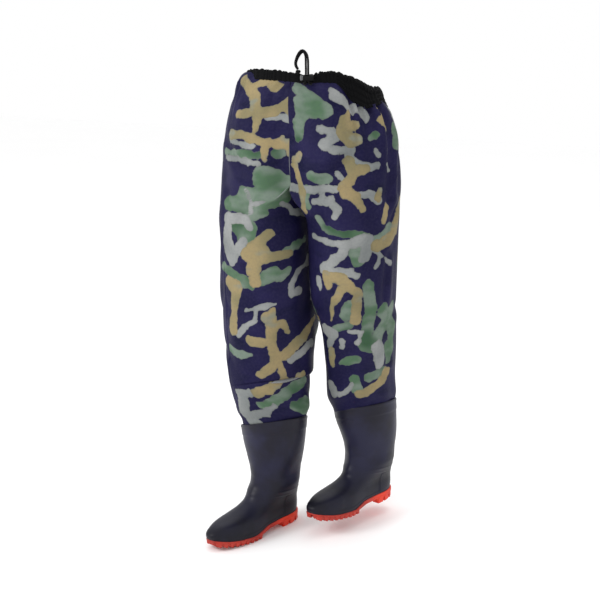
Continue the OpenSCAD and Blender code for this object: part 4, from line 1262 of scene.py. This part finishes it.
def waistband_piece():
    """The gathered casing as a closed ring of rounded cross-sections."""
    angles = np.linspace(-180, 180, BAND_STEPS + 1)[:-1]
    rim = hem_xyz(angles, 0, 0 * angles)
    arc = distances(rim)
    wide = ease((np.abs(angles) - FRONT_BAND_ANGLE) / 1.5)
    rises, lower_rises = rim_rise(angles)
    lumps = 4.6 * (bumps(arc, 27, 5) - 0.6) + 1.4 * (bumps(arc, 9, 6) - 0.5)
    top = rises + lumps * (0.3 + 0.7 * ease(np.abs(angles - CORD_ANGLE) / 9))
    bottom = hem_bottom(angles) + lower_rises + 1.2 * (bumps(arc, 19, 8) - 0.5)
    hidden = np.minimum(1, cover(-1, -angles) * np.where(-angles > 90, 2.2, 1))
    gathers = bumps(arc, 11.5, 12) * (0.75 + 0.25 * ripple(arc, 0 * arc, 13, 70, 900, 4))
    fine = bumps(arc, 5.2, 14)
    outer_shares = 0.5 - 0.5 * np.cos(np.linspace(0, math.pi, 34))
    inner_shares = outer_shares[::-2]
    rows = []
    for k, angle in enumerate(angles):
        height = top[k] - bottom[k]
        points = []
        for sign, shares in ((1, outer_shares), (-1, inner_shares)):
            edge = np.minimum(shares, 1 - shares) * height
            round_off = np.sqrt(np.clip(1 - (1 - np.minimum(edge, 4.5) / 4.5) ** 2, 0, 1))
            channel = np.ones_like(shares)
            for line in STITCH_LINES:
                channel = np.minimum(channel, 1 - wide[k] * np.exp(-((shares + line) * height / 2.0) ** 2))
            puff = round_off * channel
            relief = (2.3 * gathers[k] + 0.9 * fine[k] * wide[k] - 1.2) * puff + 1.1 * (channel - 1)
            out = sign * (CASING_HALF * round_off + relief * (1 if sign > 0 else 0.6))
            out = out * (1 - 1.2 * hidden[k] * (sign > 0))
            z = top[k] - shares * height
            points.append(hem_xyz(angle, out, z))
        rows.append(np.concatenate(points))
    obj = rows_mesh("waistband_gathered", rows, True, wrap_rows=True)
    obj.data.materials.append(BAND)
    return obj


waistband = waistband_piece()
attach(waistband, "waist")
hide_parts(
    "waistband_front_casing", "waistband_elastic_casing", "waist_elastic", "drawcord_run",
)

# ---- boots ----

BOOT_TURN = -14
BOOT_HEIGHT = 275
BOOT_WALL = 2.5
CUFF_HEIGHT = 28
SOLE_LENGTH = 316
TOE_END = SOLE_LENGTH * 0.76
HEEL_END = SOLE_LENGTH * 0.24
ANKLE_REACH, ANKLE_HALF_WIDTH = 70, 56
ANKLE_Z = 142               # the shaft stands on the foot here
ANKLE_FRONT, ANKLE_BACK = 72, 73
UPPER_START = 33            # the reliefs of the heel and the toe begin this high
# [height at the side, rise towards the front] of the two welts over the foot
LOW_WELT, HIGH_WELT = (88, 8), (101, 5)
SOLE_TOP, TREAD = 25, 16
SOLE_OUTSET = 2.0           # the plate is this much wider than the foot
SHELL_COLUMNS = 176

# [height, share of the top's reach forwards, backwards, of its width] above the ankle
SHAFT_RINGS = [
    [BOOT_HEIGHT, 1, 1, 1], [235, 0.6, 0.9, 0.8], [200, 0.2, 0.75, 0.5], [168, 0, 0.45, 0.2],
    [ANKLE_Z, 0, 0, 0],
]
# [height, reach forwards, reach backwards, share of the foot's width, share of the shaft's roundness]
FOOT_RINGS = [
    [ANKLE_Z, ANKLE_FRONT, ANKLE_BACK, 1, 1], [122, 77, 71, 1, 1], [106, 88, 70, 1, 0.8],
    [93, TOE_END - 146, 70, 0.95, 0.55], [80, TOE_END - 130, 71, 0.92, 0.3],
    [68, TOE_END - 94, 71, 0.93, 0.1], [56, TOE_END - 26, 72, 0.96, 0], [48, TOE_END - 8, 72, 0.98, 0],
    [38, TOE_END - 1, 71, 0.99, 0], [25, TOE_END - 4, 69, 0.96, 0],
]
# [height, extra reach forwards] of each boot's shaft, and the share of its length that the foot has
EXTRA_REACH = {
    -1: [[BOOT_HEIGHT, 0], [0, 0]],
    1: [[BOOT_HEIGHT, 0], [235, 12], [200, 17], [168, 15], [ANKLE_Z, 11], [122, 8], [100, 3], [90, 0]],
}
FORE_SHARE = {-1: 1.0, 1: 0.95}
# [y, half width] of the foot, from the heel forwards
FOOT_WIDTHS = [
    [HEEL_END, 35], [40, 37], [0, 36], [-60, 41], [-135, 51], [-180, 51], [-TOE_END, 44],
]


def foot_outline(angle, reach_front, reach_back, share, roundness, side):
    """One ring of a boot's foot: roundness goes from 0, a foot's shape, to 1, an oval."""
    cos, sin = np.cos(angle), np.sin(angle)
    y = -np.where(cos > 0, reach_front, reach_back) * cos
    foot = along(FOOT_WIDTHS, y)[..., 0] * share
    half = (1 - roundness) * foot + roundness * ANKLE_HALF_WIDTH
    power = np.where(cos > 0, 0.68 + 0.57 * roundness, 0.85)
    bend = (1 - roundness) * side * 5 * np.sin(np.minimum(1, np.maximum(0, -y) / TOE_END) * math.pi / 2)
    return half * np.sign(sin) * np.abs(sin) ** power - bend, y


def sole_line(y):
    """Height of the joint between boot and sole: low under the forefoot, with a little toe spring."""
    return SOLE_TOP - 12 * ease((-y - 60) / 60) + 17 * np.clip((-y - 120) / 120, 0, 1) ** 2


def foot_share(y, side):
    """The left foot is seen a little shorter in front of the ankle."""
    return np.where(y < 0, y * FORE_SHARE[side], y)


def boot_rows(shaft, side, heights):
    """Rows of the boot's outer surface, before its relief."""
    angle = np.arange(SHELL_COLUMNS) / SHELL_COLUMNS * 2 * math.pi
    half_top, reach_top, lean = shaft
    rows = []
    for z in heights:
        if z >= ANKLE_Z:
            front, back, width = along(SHAFT_RINGS, z)
            half = ANKLE_HALF_WIDTH + (half_top - ANKLE_HALF_WIDTH) * width
            share = np.where(np.cos(angle) > 0, front, back)
            reach = ANKLE_REACH + (reach_top - ANKLE_REACH) * share
            middle = ease((z - ANKLE_Z) / 26)
            reach = reach * middle + np.where(np.cos(angle) > 0, ANKLE_FRONT, ANKLE_BACK) * (1 - middle)
            power = 1 + (1 - ease((z - ANKLE_Z) / 45)) * np.where(np.cos(angle) > 0, 0.25, -0.15)
            x = half * np.sign(np.sin(angle)) * np.abs(np.sin(angle)) ** power
            y = -reach * np.cos(angle) - lean * front
        else:
            x, y = foot_outline(angle, *along(FOOT_RINGS, z), side)
        y = y - along(EXTRA_REACH[side], z)[0] * np.maximum(0, np.cos(angle))
        tilt = edge_tilt(side, np.degrees(angle) + BOOT_TURN) * ease((z - 180) / 95)
        drop = (sole_line(y) - SOLE_TOP) * np.clip(1 - (z - SOLE_TOP) / 30, 0, 1)
        rows.append(np.stack([x, y, z + tilt + drop], axis=-1))
    return np.array(rows)


def boot_relief(p, z, side):
    """How far the rubber stands out from the plain shape, for points p that lie at plain heights z."""
    x, y = p[..., 0], p[..., 1]
    around = np.arctan2(x, -y)
    front = np.cos(around)
    out = 1.0 * ease((z - BOOT_HEIGHT + CUFF_HEIGHT + 0.8) / 1.6)
    cuff_rib = np.exp(-((z - BOOT_HEIGHT + 3) / 2.2) ** 2)
    out += 0.8 * cuff_rib
    for level, rise in (LOW_WELT, HIGH_WELT):
        line = level + rise * front
        out += 1.0 * np.exp(-((z - line) / 1.7) ** 2) * ease((y + 150) / 40) * ease((1.1 - front) / 0.8)
    strap = ease((z - LOW_WELT[0] - LOW_WELT[1] * front) / 2)
    strap = strap * ease((HIGH_WELT[0] + HIGH_WELT[1] * front - z) / 2)
    out += 0.7 * strap * ease((1.1 - front) / 0.8)
    counter = ease((y - 4) / 2.2) * ease((z - UPPER_START) / 2) * ease((86 + 6 * front - z) / 2.5)
    out += counter * (1.1 + 0.35 * np.sin(2 * math.pi * z / 4.4))
    seam = np.exp(-((y - 3) / 1.6) ** 2) * ease((z - UPPER_START) / 2) * ease((84 - z) / 3)
    out += 1.5 * seam * (np.abs(x) > 18)
    cap_line = -TOE_END * 0.66 + 10 * ((z - 25) / 40)
    out += 0.9 * ease((cap_line - y) / 2.5) * ease((z - UPPER_START) / 2) * ease((62 - z) / 6)
    out += 1.3 * ease((35 - z) / 1.6)
    dent = np.exp(-(((z - 112) / 10) ** 2)) * np.clip(front, 0, 1) ** 2
    out -= 1.0 * dent
    for depth, level, high, turn, wide in ((3.4, 128, 20, 0.9, 0.4), (2.6, 140, 26, -1.7, 0.5)):
        out -= depth * np.exp(-(((z - level) / high) ** 2 + ((around - side * turn) / wide) ** 2))
    arc = around * 75
    soft = ripple(arc, z, 90 + side, 150, 200, 5) * 1.4 * ease((z - 90) / 60) * ease((BOOT_HEIGHT - z) / 60)
    return out + soft


def boot_piece(word, place, shaft, side):
    """A boot of one closed skin: the rubber outside, over the rim, and the lining inside."""
    heights = np.concatenate([np.arange(BOOT_HEIGHT, 132, -2.2), np.arange(132, SOLE_TOP, -1.5), [SOLE_TOP]])
    rows = boot_rows(shaft, side, heights)
    m, n = rows.shape[:2]
    points = rows.reshape(-1, 3)
    grid = [f for k in range(m - 1) for f in strip(k * n, (k + 1) * n, n, True)]
    normals = vertex_normals(points, grid)
    outwards = np.sum(normals[:n] * (points[:n] - [0, 0, BOOT_HEIGHT]), axis=1).mean()
    normals *= 1 if outwards > 0 else -1
    plain = np.repeat(heights, n)
    outer = points + normals * boot_relief(points, plain, side)[:, None] * [1, 1, 0.3]
    flat = normals * [1, 1, 0]
    flat /= np.maximum(np.linalg.norm(flat, axis=1), 0.3)[:, None]
    inner = outer - flat * BOOT_WALL
    inner[:, 2] = np.maximum(inner[:, 2], outer[:, 2] + BOOT_WALL * (plain < SOLE_TOP + 6))
    rim_out, rim_in = outer[:n], inner[:n]
    top_rows = []
    for t in np.linspace(0, math.pi, 7)[1:-1]:
        share = (1 - math.cos(t)) / 2
        row = rim_out * (1 - share) + rim_in * share
        row[:, 2] += 1.3 * math.sin(t)
        top_rows.append(row)
    stack = np.concatenate([
        outer.reshape(m, n, 3)[::-1], np.array(top_rows), inner.reshape(m, n, 3),
    ])
    stack = stack.reshape(-1, n, 3)
    x, y = turned(stack[..., 0], foot_share(stack[..., 1], side), BOOT_TURN)
    stack = np.stack([x + place[0], y + place[1], stack[..., 2] + place[2]], axis=-1)
    obj = rows_mesh(f"{word}_boot_moulded", stack, True, cap_start=True, cap_end=True)
    mesh = obj.data
    mesh.materials.append(BOOT)
    mesh.materials.append(LINING)
    low = np.zeros(len(mesh.vertices))
    low[:len(plain)] = plain[::-1]
    set_attribute(mesh, "foot", ease((140 - low) / 80))
    slots = np.zeros(len(mesh.polygons), np.int32)
    slots[(m + 4) * n:(m + 4 + m) * n] = 1
    slots[-n:] = 1
    mesh.polygons.foreach_set("material_index", slots)
    return obj


def insole_piece(word, place, side):
    """A foam insole with rounded edges that lies along the bottom of the boot."""
    angle = np.linspace(0, 2 * math.pi, 181)[:-1]
    rows = []
    for inset, rise in ((1.2, 0), (0.2, 0.6), (0, 2), (0.2, 3.4), (1.2, 4)):
        x, y = foot_outline(angle, TOE_END - 9 - inset, HEEL_END - 9 - inset, 0.86 - inset / 60, 0, side)
        z = sole_line(y) + BOOT_WALL + 0.5 + rise
        x, y = turned(x, foot_share(y, side), BOOT_TURN)
        rows.append(np.stack([x + place[0], y + place[1], z + place[2]], axis=-1))
    obj = rows_mesh(f"{word}_insole_foam", rows, True, cap_start=True, cap_end=True)
    obj.data.materials.append(FOAM)
    return obj


def sole_outline(side):
    """The plate's outline, SOLE_OUTSET wider than the foot's."""
    angle = np.linspace(0, 2 * math.pi, 361)[:-1]
    x, y = foot_outline(angle, TOE_END - 3, HEEL_END - 2, 1.0, 0, side)
    wider = SOLE_OUTSET * np.sign(x) * np.minimum(1, np.abs(x) / 20)
    longer = SOLE_OUTSET * np.sign(y) * (np.abs(x) < 30) * 0.5
    return x + wider, y + longer


def sorted_side(x, y, sign):
    """One side of an outline as places along it and half widths there, for np.interp."""
    keep = (x * sign) >= -8
    order = np.argsort(y[keep])
    return y[keep][order], x[keep][order]


def toe_spring(y):
    """How far the underside rises towards the toe."""
    return 15 * np.clip((-y - 120) / 120, 0, 1) ** 2


# [inset, height] of the plate's edge, with a groove round its middle
PLATE_EDGE = [
    [2.4, SOLE_TOP + 1.5], [0.6, SOLE_TOP + 0.8], [0, SOLE_TOP - 1.5], [0.2, SOLE_TOP - 4.2],
    [1.0, SOLE_TOP - 4.8], [0.2, SOLE_TOP - 5.4], [0.1, TREAD + 0.8], [1.2, TREAD - 0.4],
]
# [start, end, pairs of lugs, height of the ground between them, its share of the width], toe then heel
LUG_ZONES = [
    [-TOE_END + 7, -0.29 * SOLE_LENGTH, 9, 4, 0.97],
    [-0.03 * SOLE_LENGTH, HEEL_END - 5, 3, 7, 0.99],
]


def plate_piece(word, place, side):
    """The sole's plate and its lugs, as one mesh."""
    x, y = sole_outline(side)
    right_edge, left_edge = sorted_side(x, y, 1), sorted_side(x, y, -1)
    verts, faces = [], []

    def add_ring_stack(levels):
        start = len(verts)
        count = len(levels[0])
        for level in levels:
            verts.extend(level)
        for k in range(len(levels) - 1):
            a, b = start + k * count, start + (k + 1) * count
            faces.extend(strip(a, b, count, True))
        faces.append(tuple(range(start, start + count)))
        faces.append(tuple(range(start + (len(levels) - 1) * count, start + len(levels) * count))[::-1])

    def ring(inset, z):
        length = np.hypot(x, y + 60)
        shrink = np.where(length > 0, 1 - inset / np.maximum(length, 20), 1)
        share = (z - TREAD) / (SOLE_TOP - TREAD)
        line = sole_line(y) - SOLE_TOP
        thin = np.where(y < -60, 0.35 + 0.65 * ease((y + 130) / 60), 1)
        levels = SOLE_TOP + line - (1 - share) * (SOLE_TOP - TREAD) * thin
        return [[a * s, (b + 60) * s - 60, c] for a, b, c, s in zip(x, y, levels, shrink)]

    add_ring_stack([ring(inset, z) for inset, z in PLATE_EDGE])

    def block(y_from, y_to, low, inner_share, which):
        """One lug from the sole's edge inwards; which is -1, 1 or 0 for a block right across."""
        steps = np.linspace(0, 1, 7)
        ys = y_from + (y_to - y_from) * steps
        high_x = np.interp(ys, *right_edge) - 0.8
        low_x = np.interp(ys, *left_edge) + 0.8
        if which > 0:
            low_x = high_x * inner_share
        if which < 0:
            high_x = low_x * inner_share
        if which == 0:
            high_x = high_x * inner_share
            low_x = low_x * inner_share
        xs = np.concatenate([high_x, low_x[::-1]])
        yy = np.concatenate([ys, ys[::-1]])
        middle = np.array([xs.mean(), yy.mean()])

        def level(z, inset):
            dx, dy = xs - middle[0], yy - middle[1]
            return [[
                middle[0] + a - inset * np.sign(a), middle[1] + b - inset * np.clip(b / 3, -1, 1),
                under + z / (TREAD + 1) * (top - 2.5 - under),
            ] for a, b, under, top in zip(dx, dy, toe_spring(yy), sole_line(yy))]

        add_ring_stack([
            level(TREAD + 1.0, 0), level(low + 1.6, 0.9), level(low + 0.5, 1.4), level(low, 2.4),
        ])

    for y_from, y_to, count, between, reach in LUG_ZONES:
        pitch = (y_to - y_from) / count
        for k in range(count):
            a = y_from + k * pitch + 2.6
            b = y_from + (k + 1) * pitch - 2.6
            for which in (-1, 1):
                block(a, b, 0, 0.42, which)
        block(y_from - 3, y_to - 1.5, between, reach, 0)
    points = np.array(verts)
    px, py = turned(points[:, 0], foot_share(points[:, 1], side), BOOT_TURN)
    points = np.stack([px + place[0], py + place[1], points[:, 2] + place[2]], axis=-1)
    obj = add_mesh(f"{word}_outsole_moulded", points, faces, smooth=False)
    turn_faces_out(obj)
    obj.data.materials.append(SOLE)
    set_attribute(obj.data, "heel", ease((np.array(verts)[:, 1] + 60) / 50))
    return obj


# Each boot's side, its place, and its shaft's top: half width, reach, how far it leans forwards
BOOTS = {
    "right": (-1, [-87, -24, -1146], (80, 87, 0)),
    "left": (1, [101, 146, -1108], (76, 86, 24)),
}
for word, (side, place, shaft) in BOOTS.items():
    boot = boot_piece(word, place, shaft, side)
    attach(boot, f"{word}_lower_leg")
    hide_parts(f"{word}_boot_shell", f"{word}_boot_cuff", f"{word}_boot_lining")
    insole = insole_piece(word, place, side)
    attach(insole, f"{word}_lower_leg")
    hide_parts(f"{word}_insole")
    sole = plate_piece(word, place, side)
    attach(sole, f"{word}_lower_leg")
    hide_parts(f"{word}_outsole")

# ---- materials of the carried-over nodes ----

CARRIED = {
    "drawcord_eyelets": EYELET, "cord_lock_barrel": BARREL, "cord_lock_plunger": PLUNGER_GREY_AND_GLINT,
    "cord_lock_spring": METAL,
}
for node, material in CARRIED.items():
    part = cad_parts[node]
    part.data.materials.clear()
    part.data.materials.append(material)

# ---- light, floor and room ----

scene.view_settings.view_transform = "Standard"
world = bpy.data.worlds.new("studio")
scene.world = world
world.use_nodes = True
world.node_tree.nodes["Background"].inputs["Color"].default_value = (1.0, 1.0, 1.0, 1.0)
world.node_tree.nodes["Background"].inputs["Strength"].default_value = 1.0


def soft_light(name, place, aim, size, watts):
    """A square lamp turned towards a place."""
    data = bpy.data.lights.new(name, "AREA")
    data.size = size
    data.energy = watts
    obj = bpy.data.objects.new(name, data)
    scene.collection.objects.link(obj)
    obj.location = place
    obj.rotation_mode = "QUATERNION"
    obj.rotation_quaternion = (Vector(aim) - Vector(place)).to_track_quat("-Z", "Y")


soft_light("key_light", (-1.6, -2.4, 1.0), (0, 0, -0.5), 1.2, 52)
soft_light("fill_light", (2.8, -1.6, 0.4), (0, 0, -0.5), 2.2, 4)
soft_light("top_light", (0.2, 0.6, 2.2), (0, 0, -0.4), 1.8, 20)

FLOOR_Z = -1.1465
FLOOR_HALF = 9000
floor_corners = [[x * FLOOR_HALF, y * FLOOR_HALF, 0] for x, y in ((-1, -1), (1, -1), (1, 1), (-1, 1))]
floor = add_mesh("floor", floor_corners, [(0, 1, 2, 3)], False)
floor.location.z = FLOOR_Z
floor_nodes = Nodes("pale_floor")
floor_cloud = floor_nodes.noise(floor_nodes.place(), 1.5, 2.0)
floor.data.materials.append(floor_nodes.finish(
    floor_nodes.mix(floor_cloud, rgb(253, 253, 253), rgb(255, 255, 255)), 0.9,
))
